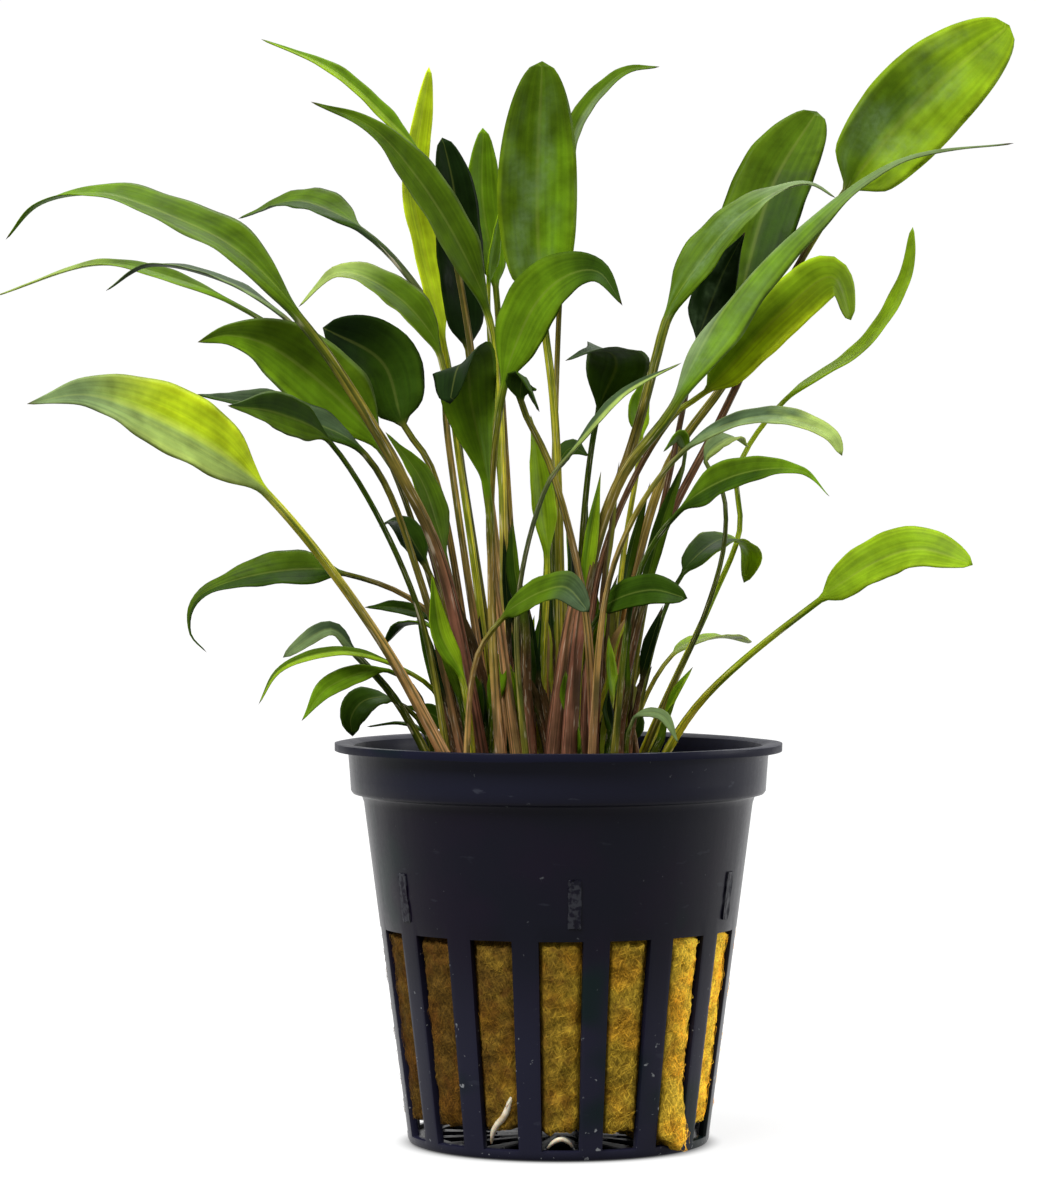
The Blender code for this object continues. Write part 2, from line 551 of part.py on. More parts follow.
def upper_sides(places, neck, turn):
    """The direction that the upper side faces at each place, carried along without twisting."""
    tangents = [
        (places[min(i + 1, len(places) - 1)] - places[max(i - 1, 0)]).normalized()
        for i in range(len(places))
    ]
    to_eye = (Vector((EYE_ACROSS, -EYE_DISTANCE, EYE_HEIGHT)) - places[neck]).normalized()
    across = tangents[neck].cross(to_eye).normalized()
    facing = across.cross(tangents[neck])
    start = Quaternion(tangents[neck], math.radians(turn[0])) @ facing
    normals = [start] * len(places)
    for i in range(neck + 1, len(places)):
        normals[i] = tangents[i - 1].rotation_difference(tangents[i]) @ normals[i - 1]
    for i in range(neck - 1, -1, -1):
        normals[i] = tangents[i + 1].rotation_difference(tangents[i]) @ normals[i + 1]
    last = len(places) - 1
    for i in range(neck, len(places)):
        twist = turn_at(turn, (i - neck) / (last - neck)) - turn[0]
        normals[i] = Quaternion(tangents[i], math.radians(twist)) @ normals[i]
    return tangents, normals


def add_leaf(leaf, material, parent):
    """One closed solid: a six-sided stalk that flattens into the blade and ends in a point."""
    seen = [in_space(point) for point in leaf.stalk + leaf.blade]
    start = Vector((*leaf.base, WOOL_TOP + GAP))
    slant = (seen[0] - start).normalized().to_2d().length
    start.z += leaf.stalk_radius * slant
    line = smooth_line([start] + seen, POINTS_PER_SPAN)
    split = (len(leaf.stalk) + 1) * POINTS_PER_SPAN
    blade_length = sum((after - before).length for before, after in zip(line[split:], line[split + 1:]))
    stalk_rings, blade_rings = LARGE_LEAF_RINGS if blade_length > LARGE_LEAF_LENGTH else SMALL_LEAF_RINGS
    places = evenly(line[: split + 1], stalk_rings)[:-1] + evenly(line[split:], blade_rings)
    neck = stalk_rings - 1
    tangents, normals = upper_sides(places, neck, leaf.turn)
    fold = math.radians(leaf.fold)
    bm = bmesh.new()
    rings = []
    for i, place in enumerate(places[:-1]):
        along = max(0.0, (i - neck) / (len(places) - 1 - neck))
        flat = eased(along / FLATTENING_SHARE)
        stalk = leaf.stalk_radius * (1 - STALK_TAPER * min(i / neck, 1)) * math.sqrt(1 - along)
        blade = leaf.width / 2 * outline_at(leaf.tip, along)
        half_width = math.hypot(stalk * STALK_SECTION_WIDTH, blade)
        thin = BLADE_HALF_THICKNESS + (TIP_HALF_THICKNESS - BLADE_HALF_THICKNESS) * along
        half_thickness = stalk + (thin - stalk) * flat
        side = tangents[i].cross(normals[i])
        ring = []
        for sideways, out in SECTION:
            reach = sideways * half_width
            lift = abs(reach) * math.sin(fold * flat) + out * half_thickness
            ring.append(bm.verts.new(place + side * reach * math.cos(fold * flat) + normals[i] * lift))
        rings.append(ring)
    bm.faces.new(rings[0])
    for lower, upper in zip(rings, rings[1:]):
        for i in range(len(SECTION)):
            after = (i + 1) % len(SECTION)
            bm.faces.new((lower[i], lower[after], upper[after], upper[i]))
    end = bm.verts.new(places[-1])
    for i in range(len(SECTION)):
        bm.faces.new((rings[-1][i], rings[-1][(i + 1) % len(SECTION)], end))
    bmesh.ops.recalc_face_normals(bm, faces=bm.faces)
    add_object(leaf.name, bm, material, 50, parent)


def main():
    clear_scene()
    whole = bpy.data.objects.new("potted_cryptocoryne", None)
    bpy.context.scene.collection.objects.link(whole)
    add_net_pot(whole)
    add_rockwool_plug(whole)
    root_white = plain_material("white root", (0.75, 0.70, 0.58), 0.6)
    long_root = [in_slot(-1, *place) for place in ((1.3, 7.6), (0.7, 5.4), (-0.6, 4.2), (-1.3, 2.7))]
    bent_root = [in_slot(0, *place) for place in ((-1.4, 1.9, 0.5), (0, 2.9, 0.2), (1.4, 2.1, 0.5))]
    add_root("root_1", long_root, root_white, whole)
    add_root("root_2", bent_root, root_white, whole)
    greens = {shade: plain_material("leaf " + shade, colour, 0.35) for shade, colour in SHADES.items()}
    for leaf in LEAVES:
        add_leaf(leaf, greens[leaf.shade], whole)


main()
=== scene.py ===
"""Potted cryptocoryne: a slotted net pot, its rock wool and roots, and fifty-five leaves."""

import json
import math
import random
from typing import NamedTuple

import bpy
from bpy.props import EnumProperty, FloatProperty, FloatVectorProperty, IntProperty, PointerProperty
from bpy.types import Operator, Panel, PropertyGroup
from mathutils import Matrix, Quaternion, Vector, noise


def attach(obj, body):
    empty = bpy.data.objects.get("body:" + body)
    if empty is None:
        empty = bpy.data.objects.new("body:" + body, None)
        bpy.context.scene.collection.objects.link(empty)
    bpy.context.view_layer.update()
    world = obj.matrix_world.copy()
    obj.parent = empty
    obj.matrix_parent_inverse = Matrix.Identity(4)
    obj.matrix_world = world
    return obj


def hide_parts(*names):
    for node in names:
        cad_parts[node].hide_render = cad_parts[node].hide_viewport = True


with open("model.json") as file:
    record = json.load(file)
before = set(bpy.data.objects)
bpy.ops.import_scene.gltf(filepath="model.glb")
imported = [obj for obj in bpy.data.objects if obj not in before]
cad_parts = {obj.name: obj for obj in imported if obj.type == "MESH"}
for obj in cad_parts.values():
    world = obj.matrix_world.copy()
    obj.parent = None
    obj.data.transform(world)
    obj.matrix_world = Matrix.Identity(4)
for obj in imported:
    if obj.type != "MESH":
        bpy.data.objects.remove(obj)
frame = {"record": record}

bl_info = {
    "name": "Potted cryptocoryne",
    "version": (1, 0, 0),
    "blender": (4, 5, 0),
    "location": "3D View > Sidebar > Plant",
    "description": "Builds a potted cryptocoryne over its solid model, with a studio stage",
    "category": "Object",
}

# Sizes here are in millimetres and angles in degrees, unless a property says otherwise
MILLIMETRE = 0.001
MERGE_DISTANCE = 1e-6

# The net pot, as in the solid model
RIM_DIAMETER = 55.0
POT_HEIGHT = 49.0
WALL = 0.9
COLLAR_TOP_DIAMETER = 51.8
COLLAR_BOTTOM_DIAMETER = 51.0
COLLAR_HEIGHT = 5.7
LIP_WIDTH = (RIM_DIAMETER - COLLAR_TOP_DIAMETER) / 2
LIP_WAVE = 0.22
BODY_TOP_DIAMETER = 48.2
FOOT_DIAMETER = 37.0
FOOT_ROUNDING = 0.6
SLOT_COUNT = 16
SLOT_ANGLE = 14.0
SLOT_TURN = 0.3
SLOT_BOTTOM = 1.2
SLOT_TOP = 26.5
FLOOR_SLOT_INNER_RADIUS = 7.5
FLOOR_SLOT_OUTER_RADIUS = 15.0
COLUMNS_PER_SLOT = 12
ROWS_IN_SLOT = 10
RINGS_ABOVE_SLOTS = (29.0, 31.5, 34.0, 37.0, 40.0)

# The rough moulded marks above the slots
MARK_COUNT = 6
MARK_TURN = 4.4
MARK_HEIGHT = 31.0
MARK_SIZE = (0.5, 1.5, 5.8)
MARK_SINK = 0.05
MARK_ROUGHNESS = 0.13

# The plug of rock wool. Its skin runs from the middle of the underside, out, up the side and in
# again, and the side lies between these two shares of that way
WOOL_BOTTOM = 3.5
WOOL_TOP = 42.0
WOOL_SIDE_START = 0.12
WOOL_SIDE_END = 0.88
WOOL_ROWS = 110
WOOL_COLUMNS_PER_SLOT = 20
# Layers of unevenness of its lower edge and of its skin, each as (height, fineness)
WOOL_EDGE_LAYERS = ((0.9, 7), (0.5, 23))
WOOL_SKIN_LAYERS = ((0.3, 0.45), (0.22, 1.3), (0.12, 3.1))
# How far it stands out of the wall's inside in a slot, how much less at the slot's sides, and how
# far it stays behind the wall elsewhere
WOOL_BULGE = 0.55
WOOL_BULGE_ROUNDING = 0.25
WOOL_BEHIND_WALL = 0.45
WOOL_BULGE_MARGIN = 0.5
WOOL_BULGE_MARGIN_ANGLE = 0.8

# The slot, counted from the front, whose wool hangs out over the foot. The turn is that of the
# hanging wool's middle from the slot's, and the height is the one above which nothing hangs
FRAYED_SLOT = 2
FRAYED_TURN = 1.5
FRAYED_HALF_WIDTH = 7.2
FRAYED_HEIGHT = 9.0
FRAYED_OUT = 2.5
FRAYED_DOWN = 3.8

# Loose fibres of the wool: their lowest and highest share of the skin's way, the part of the slot
# that they keep to, and the degrees round the plug that a millimetre takes
FIBRE_POINTS = 5
FIBRE_LOWEST = 0.121
FIBRE_HIGHEST = 0.60
FIBRE_SPREAD = 0.48
FIBRE_TURN = 57.3 / 20

# The white roots: the name, the slot counted from the front, and the places, each as (across,
# height, depth in the slot, radius)
ROOTS = (
    ("root_1", -1, (
        (1.75, 9.0, 1.1, 0.2), (1.45, 7.6, 0, 0.32), (0.7, 5.4, 0, 0.42), (-0.6, 4.2, 0, 0.4),
        (-1.25, 2.9, 0, 0.28), (-1.5, 1.9, 0.5, 0.14),
    )),
    ("root_2", 0, (
        (-1.5, 1.5, 0.9, 0.14), (-1.1, 2.2, 0.4, 0.24), (0, 2.8, 0.2, 0.32), (1.0, 2.4, 0.3, 0.24),
        (1.4, 1.7, 0.8, 0.14),
    )),
)
ROOT_INSET = 0.4

# The eye that the leaves' points are seen from, and what it sees of the plane of the pot's axis
EYE_DISTANCE = 561.0
EYE_ACROSS = -4.9
EYE_HEIGHT = 78.2
VIEW_HEIGHT = 147.6
VIEW_MIDDLE = 66.5

# Leaves: first the stalk, as shares of its own radius or of the leaf's length
STALK_TAPER = 0.2
STALK_FOOT_SWELLING = 0.4
FLATTENING_SHARE = 0.3
DEPTH_IN_WOOL = 3.0
# The blade: how much thinner it is at the tip, how much narrower a pointed one is in its outer
# part, and the midrib's width and heights above and below, as shares of half the blade's width
# and of the stalk's radius
TIP_THINNING = 0.4
POINTED_NARROWING = 0.4
RIB_WIDTH = 0.1
RIB_ABOVE = 0.12
RIB_BELOW = 0.35
FOLD_ROUNDING = 0.12
# How fine the skins are
POINTS_PER_SPAN = 24
STALK_STEP = 2.0
BLADE_STEP = 0.8
ROUND_POINTS = 24

# Short stems at the foot: how far from the pot's axis they may grow, and how fine their skins are
STEM_AREA_RADIUS = 13.0
STEM_SKIN = {"columns": 10, "blade_step": 2.5, "fewest_rings": 6}

# The stage, in metres
FLOOR_SIZE = 6.0
FLOOR_DROP = 0.00005
LAMPS_AIM = (0, 0, 0.07)


class Leaf(NamedTuple):
    """One leaf. The base is where it leaves the wool, (across, depth) in the pot's own frame.

    The stalk's and the blade's points are (across, depth, height) as the eye sees them against the pot's
    axis; the blade's first is the foot of the blade. The turn says how far the upper side is turned from the
    eye, about the midrib, at foot, middle and tip. The tones are those of the half on the leaf's right, the
    half on its left, its underside and its stalk; a fifth, where there is one, is that of the blade's outer
    part. They hold painted light and shade: a half or part that faces the light is given a lighter tone, one
    in shade a darker, and the grey and slate tones are painted sheen. A patchy leaf's tones run into each
    other, and it has painted grey sheen in places.
    """

    name: str
    tones: str
    base: tuple
    stalk: tuple
    blade: tuple
    width: float
    turn: tuple
    fold: float = 14.0
    tip: str = "pointed"
    stalk_radius: float = 0.5
    patchy: bool = False


LEAVES = (
    # Upper left
    Leaf("leaf_upper_left_1", "forest forest grey pink middle",
         base=(-8.4, -8), stalk=((-14.5, -11, 71.4), (-19.4, -13, 81.9), (-27.4, -14, 95.2)),
         blade=((-31.3, -14, 100.4), (-39.3, -13, 109.3), (-47, -11, 113.4), (-56.3, -8, 116.4),
                (-63.7, -5, 115.2), (-68, -2, 110.8)),
         width=8.4, turn=(48, 56, 70), stalk_radius=0.8),
    Leaf("leaf_upper_left_2", "middle bright bright olive",
         base=(-4.5, 4), stalk=((-8.5, 6, 80), (-13, 7, 110)),
         blade=((-16.4, 7, 120), (-21.9, 5, 126.5), (-28, 3, 131.7), (-36.6, 0, 135.5)),
         width=3.8, turn=(60, 65, 75)),
    Leaf("leaf_upper_left_3", "forest forest grey tan",
         base=(-6.5, 1), stalk=((-6.8, 1.5, 78), (-7.5, 1.5, 94)),
         blade=((-8.5, 1.2, 101), (-12.4, -0.8, 110.4), (-17.5, -3, 118.5), (-23.1, -6, 124.6),
                (-30.5, -9, 127.8)),
         width=6.4, turn=(40, 45, 60), stalk_radius=0.6),
    Leaf("leaf_upper_left_4", "yellow yellow yellow lime",
         base=(-7.7, 7), stalk=((-9.5, 9, 64), (-12.5, 12, 86)),
         blade=((-14.1, 13, 97.9), (-16.9, 15, 111), (-17.9, 15, 117), (-15.9, 14, 132.1)),
         width=4.6, turn=(45, 42, 40), tip="round"),
    Leaf("leaf_upper_left_5", "deep deep deep olive",
         base=(-5.3, 10), stalk=((-7.1, 11, 66.5), (-9.6, 12, 85)),
         blade=((-11.1, 12, 97.3), (-12.3, 12, 108), (-12.9, 11, 117), (-14.3, 10, 123.4)),
         width=6.6, turn=(25, 25, 25), tip="blunt"),
    Leaf("leaf_upper_left_6", "forest dark slate grey",
         base=(-6, 12.5), stalk=((-11.5, 15, 80), (-14.8, 17, 100), (-19, 20.5, 107)),
         blade=((-24, 24, 111.8), (-31.7, 30, 115.5), (-39.4, 37, 113.4)),
         width=6.8, turn=(58, 46, 34), stalk_radius=0.55),
    Leaf("leaf_upper_left_7", "forest forest pale olive pale",
         base=(-7, -1), stalk=((-13.7, 4, 87.4),),
         blade=((-14.5, 6, 96.4), (-19.4, 8, 103.4), (-26.8, 9, 106.7), (-32, 8, 102.5)),
         width=6.5, turn=(40, 45, 60)),
    Leaf("leaf_upper_left_8", "forest middle pale grey pale",
         base=(-8.5, 9), stalk=((-22, 14, 86), (-31.7, 17, 97.5)),
         blade=((-39.7, 19, 102.8), (-46.5, 22, 105.7), (-56.3, 27, 107.8), (-69.2, 34, 103.9)),
         width=3.4, turn=(45, 62, 55), stalk_radius=0.4),
    Leaf("leaf_upper_left_9", "slate grey slate umber",
         base=(-9, 6.5), stalk=((-19, 8, 82), (-30.5, 9, 97.9)),
         blade=((-33.6, 9, 101.2), (-41, 12, 105.7), (-50.2, 15, 107.6), (-55.7, 19, 104.5)),
         width=3.5, turn=(70, 72, 85), stalk_radius=0.4),
    # Left
    Leaf("leaf_left_1", "forest middle grey pink",
         base=(-10, -2), stalk=((-15.7, -4, 73.9),),
         blade=((-21.5, -5, 84.6), (-26.8, -6, 91), (-35.6, -9, 97.7), (-40.6, -12, 99), (-44.4, -15, 98.2)),
         width=9.6, turn=(18, 24, 35), stalk_radius=0.6),
    Leaf("leaf_left_2", "slate dark slate pink",
         base=(-10.5, -6.5), stalk=((-17, -9, 69),),
         blade=((-23.7, -11, 84.3), (-33, -14, 89.3), (-44.6, -23, 91.8)),
         width=6.0, turn=(55, 62, 75)),
    Leaf("leaf_left_3", "dark forest grey green",
         base=(-12.5, -10.5), stalk=((-17.6, -12, 66.5),),
         blade=((-28, -15, 85.8), (-34.2, -22, 89.3), (-40.7, -31, 90.4)),
         width=5.5, turn=(45, 50, 60), stalk_radius=0.4),
    Leaf("leaf_left_4", "dark dark dark olive deep",
         base=(-8.5, 2.5), stalk=((-15.5, 0, 82.5),),
         blade=((-19, 0, 88), (-21.6, 0, 95.6), (-29, -4, 100)),
         width=9.2, turn=(0, 15, 30), fold=20, tip="round"),
    Leaf("leaf_left_5", "forest forest middle olive",
         base=(-8, -5.8), stalk=((-12, -5, 62),),
         blade=((-13.9, -5, 71.4), (-17, -5, 81.3), (-21.3, -6, 87.2)),
         width=5.0, turn=(50, 50, 50)),
    Leaf("leaf_left_6", "dark deep dark olive",
         base=(-9.5, 4), stalk=((-12.5, 3.6, 60),),
         blade=((-16.4, 4, 70.8), (-20, 5.5, 76.1), (-22.1, 7, 75.5)),
         width=4.6, turn=(40, 40, 40)),
    # Lower left
    Leaf("leaf_lower_left_1", "bright middle bright lime",
         base=(-10, -9.5), stalk=(),
         blade=((-11.8, -12, 56.7), (-14.5, -13, 62.5), (-15.6, -14, 69.8)),
         width=2.7, turn=(20, 20, 20)),
    Leaf("leaf_lower_left_2", "yellow pale pale tan grey",
         base=(-10.5, -14.5), stalk=((-21.9, -20, 61.6),),
         blade=((-35.6, -26, 79.3), (-43.8, -30, 86.1), (-57.4, -35, 91.6), (-65.4, -40, 90.6)),
         width=9.4, turn=(35, 40, 60), stalk_radius=0.65),
    Leaf("leaf_lower_left_3", "forest dark dark olive",
         base=(-9, -4), stalk=((-15.1, -6, 64),),
         blade=((-26.2, -7, 69.7), (-36.7, -8, 69.6), (-44.5, -9, 66.5), (-45.3, -10, 62.5),
                (-43.2, -11, 60)),
         width=6.5, turn=(45, 50, 70), tip="drawn out", stalk_radius=0.4),
    Leaf("leaf_lower_left_4", "dark dark dark green",
         base=(-11.5, 0.5), stalk=((-13.5, -1, 58),),
         blade=((-15.5, -2, 63.8), (-19.5, -5, 65.4), (-23.9, -8, 65.6)),
         width=2.5, turn=(70, 70, 70), stalk_radius=0.35),
    Leaf("leaf_lower_left_5", "dark middle dark green",
         base=(-11.5, 2.8), stalk=((-13.5, 3, 58),),
         blade=((-15.5, 4, 63.1), (-19, 7, 63.4), (-21.9, 10, 60.4)),
         width=3.0, turn=(60, 60, 60), stalk_radius=0.35),
    Leaf("leaf_lower_left_6", "slate grey grey green grey",
         base=(-13, -7.5), stalk=((-20, -10, 54.2),),
         blade=((-25.3, -12, 60.2), (-27.9, -12.8, 62.9), (-33.9, -15.5, 59.4)),
         width=2.3, turn=(40, 55, 60), tip="round", stalk_radius=0.55),
    Leaf("leaf_lower_left_7", "forest bright pale fresh",
         base=(-12, -4.5), stalk=((-14.5, -7.5, 54.2),),
         blade=((-19.4, -12, 58.1), (-26.5, -15, 60.1), (-34.2, -19, 57.9), (-36.9, -21, 53.6)),
         width=2.0, turn=(65, 65, 70), stalk_radius=0.35),
    Leaf("leaf_lower_left_8", "middle middle middle green",
         base=(-14.5, -5), stalk=((-17, -8, 54.5),),
         blade=((-20.9, -11, 57.8), (-28, -16, 55.9), (-31.6, -22, 51.6)),
         width=2.9, turn=(45, 50, 55), stalk_radius=0.35),
    Leaf("leaf_lower_left_9", "dark dark dark green",
         base=(-14, -2.5), stalk=((-17, -4, 51.5),),
         blade=((-20.4, -5, 54.2), (-24, -7, 54), (-25.6, -8.5, 51.8), (-25.3, -9, 49.7)),
         width=4.0, turn=(78, 50, 5), tip="blunt", stalk_radius=0.35),
    Leaf("leaf_lower_left_10", "dark dark dark green",
         base=(-12.5, -0.8), stalk=(),
         blade=((-12.9, -1.5, 49.5), (-15.1, -2, 52.1), (-18.8, -4, 53.5)),
         width=2.8, turn=(40, 40, 40), stalk_radius=0.35),
    Leaf("leaf_lower_left_11", "dark dark dark green",
         base=(-13, 4.5), stalk=(),
         blade=((-16.4, 5, 50.1), (-19.4, 7, 51.3), (-23.6, 9, 50.9)),
         width=1.3, turn=(60, 60, 60), stalk_radius=0.3),
    # Centre
    Leaf("leaf_centre_1", "middle middle middle olive",
         base=(-3.4, 13), stalk=((-5.3, 14, 66.5), (-6.9, 15, 91)),
         blade=((-7.7, 15, 105), (-9.4, 16, 116), (-9.3, 15, 124.6)),
         width=5.3, turn=(30, 30, 30), tip="round"),
    Leaf("leaf_centre_2", "middle middle bright lime",
         base=(-3, 7.5), stalk=((-7.5, 9, 85),),
         blade=((-8.6, 9, 105.1), (-8, 9, 110), (-7.1, 8, 115.1)),
         width=3.2, turn=(65, 65, 65), stalk_radius=0.35),
    Leaf("leaf_centre_3", "middle forest bright lime forest",
         base=(0.5, -2), stalk=((0, -1, 79), (-0.6, 0, 91)),
         blade=((-2, 0, 103), (-2.6, 0, 115), (-2.0, -2, 132.8)),
         width=9.9, turn=(5, 0, 0), fold=8, tip="blunt", stalk_radius=0.6, patchy=True),
    Leaf("leaf_centre_4", "middle middle dark olive dark",
         base=(-4.4, -7), stalk=((-6.8, -7.6, 60), (-8.4, -9, 76)),
         blade=((-6.8, -10.6, 92.3), (-2.8, -14, 102.8), (1.2, -17, 106.4), (5, -20, 106.8),
                (7.9, -22, 102.7)),
         width=7.6, turn=(-20, -38, -75), stalk_radius=0.6),
    Leaf("leaf_centre_5", "middle middle middle olive deep",
         base=(-6.5, -10), stalk=((-8, -11.4, 60),),
         blade=((-8.6, -13.8, 78.8), (-10.8, -16.4, 91), (-11.3, -18.5, 95.4), (-12.3, -21, 95),
                (-13.3, -22.5, 90.6)),
         width=8.0, turn=(215, 195, 190), tip="spoon", stalk_radius=0.6),
    Leaf("leaf_centre_6", "dark dark dark pink",
         base=(4.4, -10), stalk=((3.2, -11.8, 66), (-1, -12.4, 83)),
         blade=((-4.6, -13, 91), (-4.2, -14.5, 93.8), (-2.3, -16, 89.6)),
         width=4.2, turn=(0, -20, -40), stalk_radius=0.5),
    Leaf("leaf_centre_7", "bright bright bright lime",
         base=(-2, -3.6), stalk=((-1.8, -5, 60),),
         blade=((-1.4, -6.5, 71.5), (-2.2, -7.2, 80), (-3.4, -8, 89.3)),
         width=3.6, turn=(35, 35, 35)),
    Leaf("leaf_centre_8", "slate grey dark green slate",
         base=(2, 3), stalk=((3.1, 1, 76.3),),
         blade=((4.9, 0, 89.6), (7.2, -6, 95.8), (5, -12, 97.3), (0.8, -14, 95.9)),
         width=8.0, turn=(180, 180, 180), stalk_radius=0.45),
    Leaf("leaf_centre_9", "bright middle bright lime",
         base=(5, 8), stalk=((8, 7.5, 72),),
         blade=((10.1, 7, 86.2), (9.7, 7, 89.9), (10.7, 6, 94.5)),
         width=3.2, turn=(30, 30, 30), stalk_radius=0.4),
    Leaf("leaf_centre_10", "pale slate grey grey",
         base=(-3.5, -12), stalk=((-5, -13, 66), (-1.2, -15, 81)),
         blade=((1.5, -15.5, 84.5), (8, -17, 91.8), (15.2, -19, 95.7)),
         width=2.1, turn=(-55, -60, -65), stalk_radius=0.35),
    Leaf("leaf_centre_11", "dark dark dark green",
         base=(1.5, 6.5), stalk=((-0.6, 4, 70),),
         blade=((0, 3, 82.5), (1.5, 3, 85.1), (3.8, 2, 84.2)),
         width=3.0, turn=(-45, -45, -45), stalk_radius=0.35),
    Leaf("leaf_centre_12", "forest forest middle olive slate",
         base=(-11.5, -12), stalk=((-10, -14, 59.5),),
         blade=((-6.8, -16, 64.3), (-4.1, -18, 66.4), (-1.6, -20, 67.6), (1, -23, 68), (3.8, -27, 65)),
         width=4.3, turn=(-40, -60, -70), tip="round", stalk_radius=0.4),
    # Upper right
    Leaf("leaf_upper_right_1", "grey forest grey olive forest",
         base=(-1.2, 5), stalk=((-0.6, 6, 79), (0.2, 7, 104)),
         blade=((1.2, 7, 117), (2.5, 7, 125), (8, 4, 131.3), (12.5, 1, 132.1)),
         width=4.2, turn=(-60, -62, -75), stalk_radius=0.4),
    Leaf("leaf_upper_right_2", "dark forest dark olive forest",
         base=(4, 10.5), stalk=((13, 12.5, 82), (21.3, 14.5, 95)),
         blade=((22.2, 15, 102), (26.3, 19, 117.2), (31.8, 25, 126.6)),
         width=10.4, turn=(-15, -10, -5), tip="blunt", stalk_radius=0.65),
    Leaf("leaf_upper_right_3", "forest forest middle pink grey",
         base=(-1.6, -6), stalk=((2.1, -5, 66.5), (8.9, -1, 85), (12.3, 2, 97.3)),
         blade=((13.2, 3, 100.6), (16.5, 4, 106.6), (22.8, 6, 114), (30.4, 6, 117.7),
                (34.2, 5, 115.9)),
         width=7.0, turn=(-40, -48, -78), stalk_radius=0.75, patchy=True),
    Leaf("leaf_upper_right_4", "bright forest bright umber bright",
         base=(6.5, 12.5), stalk=((11, 13, 70), (20.2, 15, 89.3), (28.5, 17, 105.9)),
         blade=((35.3, 18, 116.8), (44.8, 21, 128.2), (55.5, 24, 137.2)),
         width=12.3, turn=(10, 5, 0), fold=8, tip="blunt", stalk_radius=0.55, patchy=True),
    Leaf("leaf_upper_right_5", "middle grey grey pink grey",
         base=(0.8, -9), stalk=((3, -9.5, 66), (7.6, -8, 81.3)),
         blade=((14, -6, 89.9), (20.5, -4, 102.2), (29.8, -3, 112.3), (42.1, -4, 120.7),
                (56.1, -7, 122.7)),
         width=7.6, turn=(-45, -60, -80), fold=-38, tip="drawn out", stalk_radius=0.8, patchy=True),
    Leaf("leaf_upper_right_6", "deep deep deep umber",
         base=(5, 5.5), stalk=((13.8, 8.5, 82.5),),
         blade=((17.1, 9.5, 97.9), (20, 10, 106), (23, 10, 111.8)),
         width=5.6, turn=(-20, -20, -20), stalk_radius=0.45, patchy=True),
    Leaf("leaf_upper_right_7", "yellow bright yellow umber bright",
         base=(2.5, -4.5), stalk=((5.5, -3.5, 72), (14, -2, 89)),
         blade=((18.1, -1, 92.1), (27.3, 2, 101.6), (33.6, 4, 106.2), (36, 6, 100.9)),
         width=6.8, turn=(-25, -20, 0), tip="blunt", stalk_radius=0.45),
    Leaf("leaf_upper_right_8", "bright bright bright fresh",
         base=(8.5, 12.2), stalk=((13.2, 13, 54.2), (18.9, 14.5, 66.5), (22.3, 17, 75.1), (22.1, 19, 82.5)),
         blade=((27.9, 23, 91.1), (37.7, 27, 97.7), (42.9, 30, 106.3), (43.6, 32, 112.4)),
         width=3.9, turn=(-65, -65, -62), tip="round", stalk_radius=0.4),
    # Lower right
    Leaf("leaf_lower_right_1", "grey slate pale olive pale",
         base=(3.4, -12), stalk=((7, -13, 71.4),),
         blade=((15.6, -15, 85), (25, -19, 89), (33.3, -25, 86.8), (34.9, -27, 84.2)),
         width=3.5, turn=(-60, -68, -80), tip="round", stalk_radius=0.4, patchy=True),
    Leaf("leaf_lower_right_2", "dark forest middle green middle",
         base=(6, -11), stalk=((10, -12, 70),),
         blade=((14.8, -14, 77.3), (21.4, -20, 81.6), (29.8, -29, 82.4), (33.4, -36, 79.2)),
         width=5.4, turn=(-50, -62, -80), tip="drawn out", stalk_radius=0.4),
    Leaf("leaf_lower_right_3", "pale grey pale green",
         base=(8.5, 2), stalk=((14.4, 2, 56.7), (17.5, 2, 63.4), (20.4, 2.5, 73.3), (20.2, 3, 80)),
         blade=((18.1, 4, 83.5), (21.2, 6, 86.4), (23.4, 9, 85.3)),
         width=4.0, turn=(-30, -30, -30), stalk_radius=0.35),
    Leaf("leaf_lower_right_4", "middle grey middle green",
         base=(7, 4.8), stalk=((12, 6, 72),),
         blade=((15.6, 6.5, 84.5), (14.8, 5.5, 86.8), (12.9, 4, 84.7)),
         width=1.9, turn=(20, 20, 20), stalk_radius=0.3),
    Leaf("leaf_lower_right_5", "dark dark bright green bright",
         base=(8, -0.5), stalk=((12, 1, 62),),
         blade=((15.3, 4, 69.7), (20.2, 10, 73.9), (23.4, 15, 72.4), (22.8, 17, 68.6)),
         width=5.0, turn=(-30, -35, -25), tip="round", stalk_radius=0.35),
    Leaf("leaf_lower_right_6", "dark dark dark green",
         base=(2, -6.8), stalk=((2.8, -7.9, 58),),
         blade=((5.2, -10, 65), (11.3, -15.4, 67.7), (15.9, -18.6, 66.7)),
         width=4.2, turn=(-50, -50, -50), tip="round", stalk_radius=0.35),
    Leaf("leaf_lower_right_7", "pale bright pale lime",
         base=(7.5, 9), stalk=((10.5, 11, 54),),
         blade=((14, 14, 59.7), (19.3, 24, 61.9), (23.6, 36, 61.2)),
         width=3.8, turn=(-48, -48, -48), tip="round", stalk_radius=0.35),
    Leaf("leaf_lower_right_8", "bright bright bright fresh",
         base=(10, 0.5), stalk=((17.5, -2, 54),),
         blade=((32.2, -6, 66.5), (39.6, -8, 71.4), (44.5, -10, 72.7), (51, -13, 70.8)),
         width=6.4, turn=(-30, -35, -50), tip="round", stalk_radius=0.5),
    Leaf("leaf_lower_right_9", "grey grey grey green",
         base=(8, -9), stalk=(),
         blade=((9.3, -10.5, 52), (12.6, -11, 52.3), (14.8, -12, 48.8)),
         width=1.7, turn=(-50, -50, -50), stalk_radius=0.3),
)

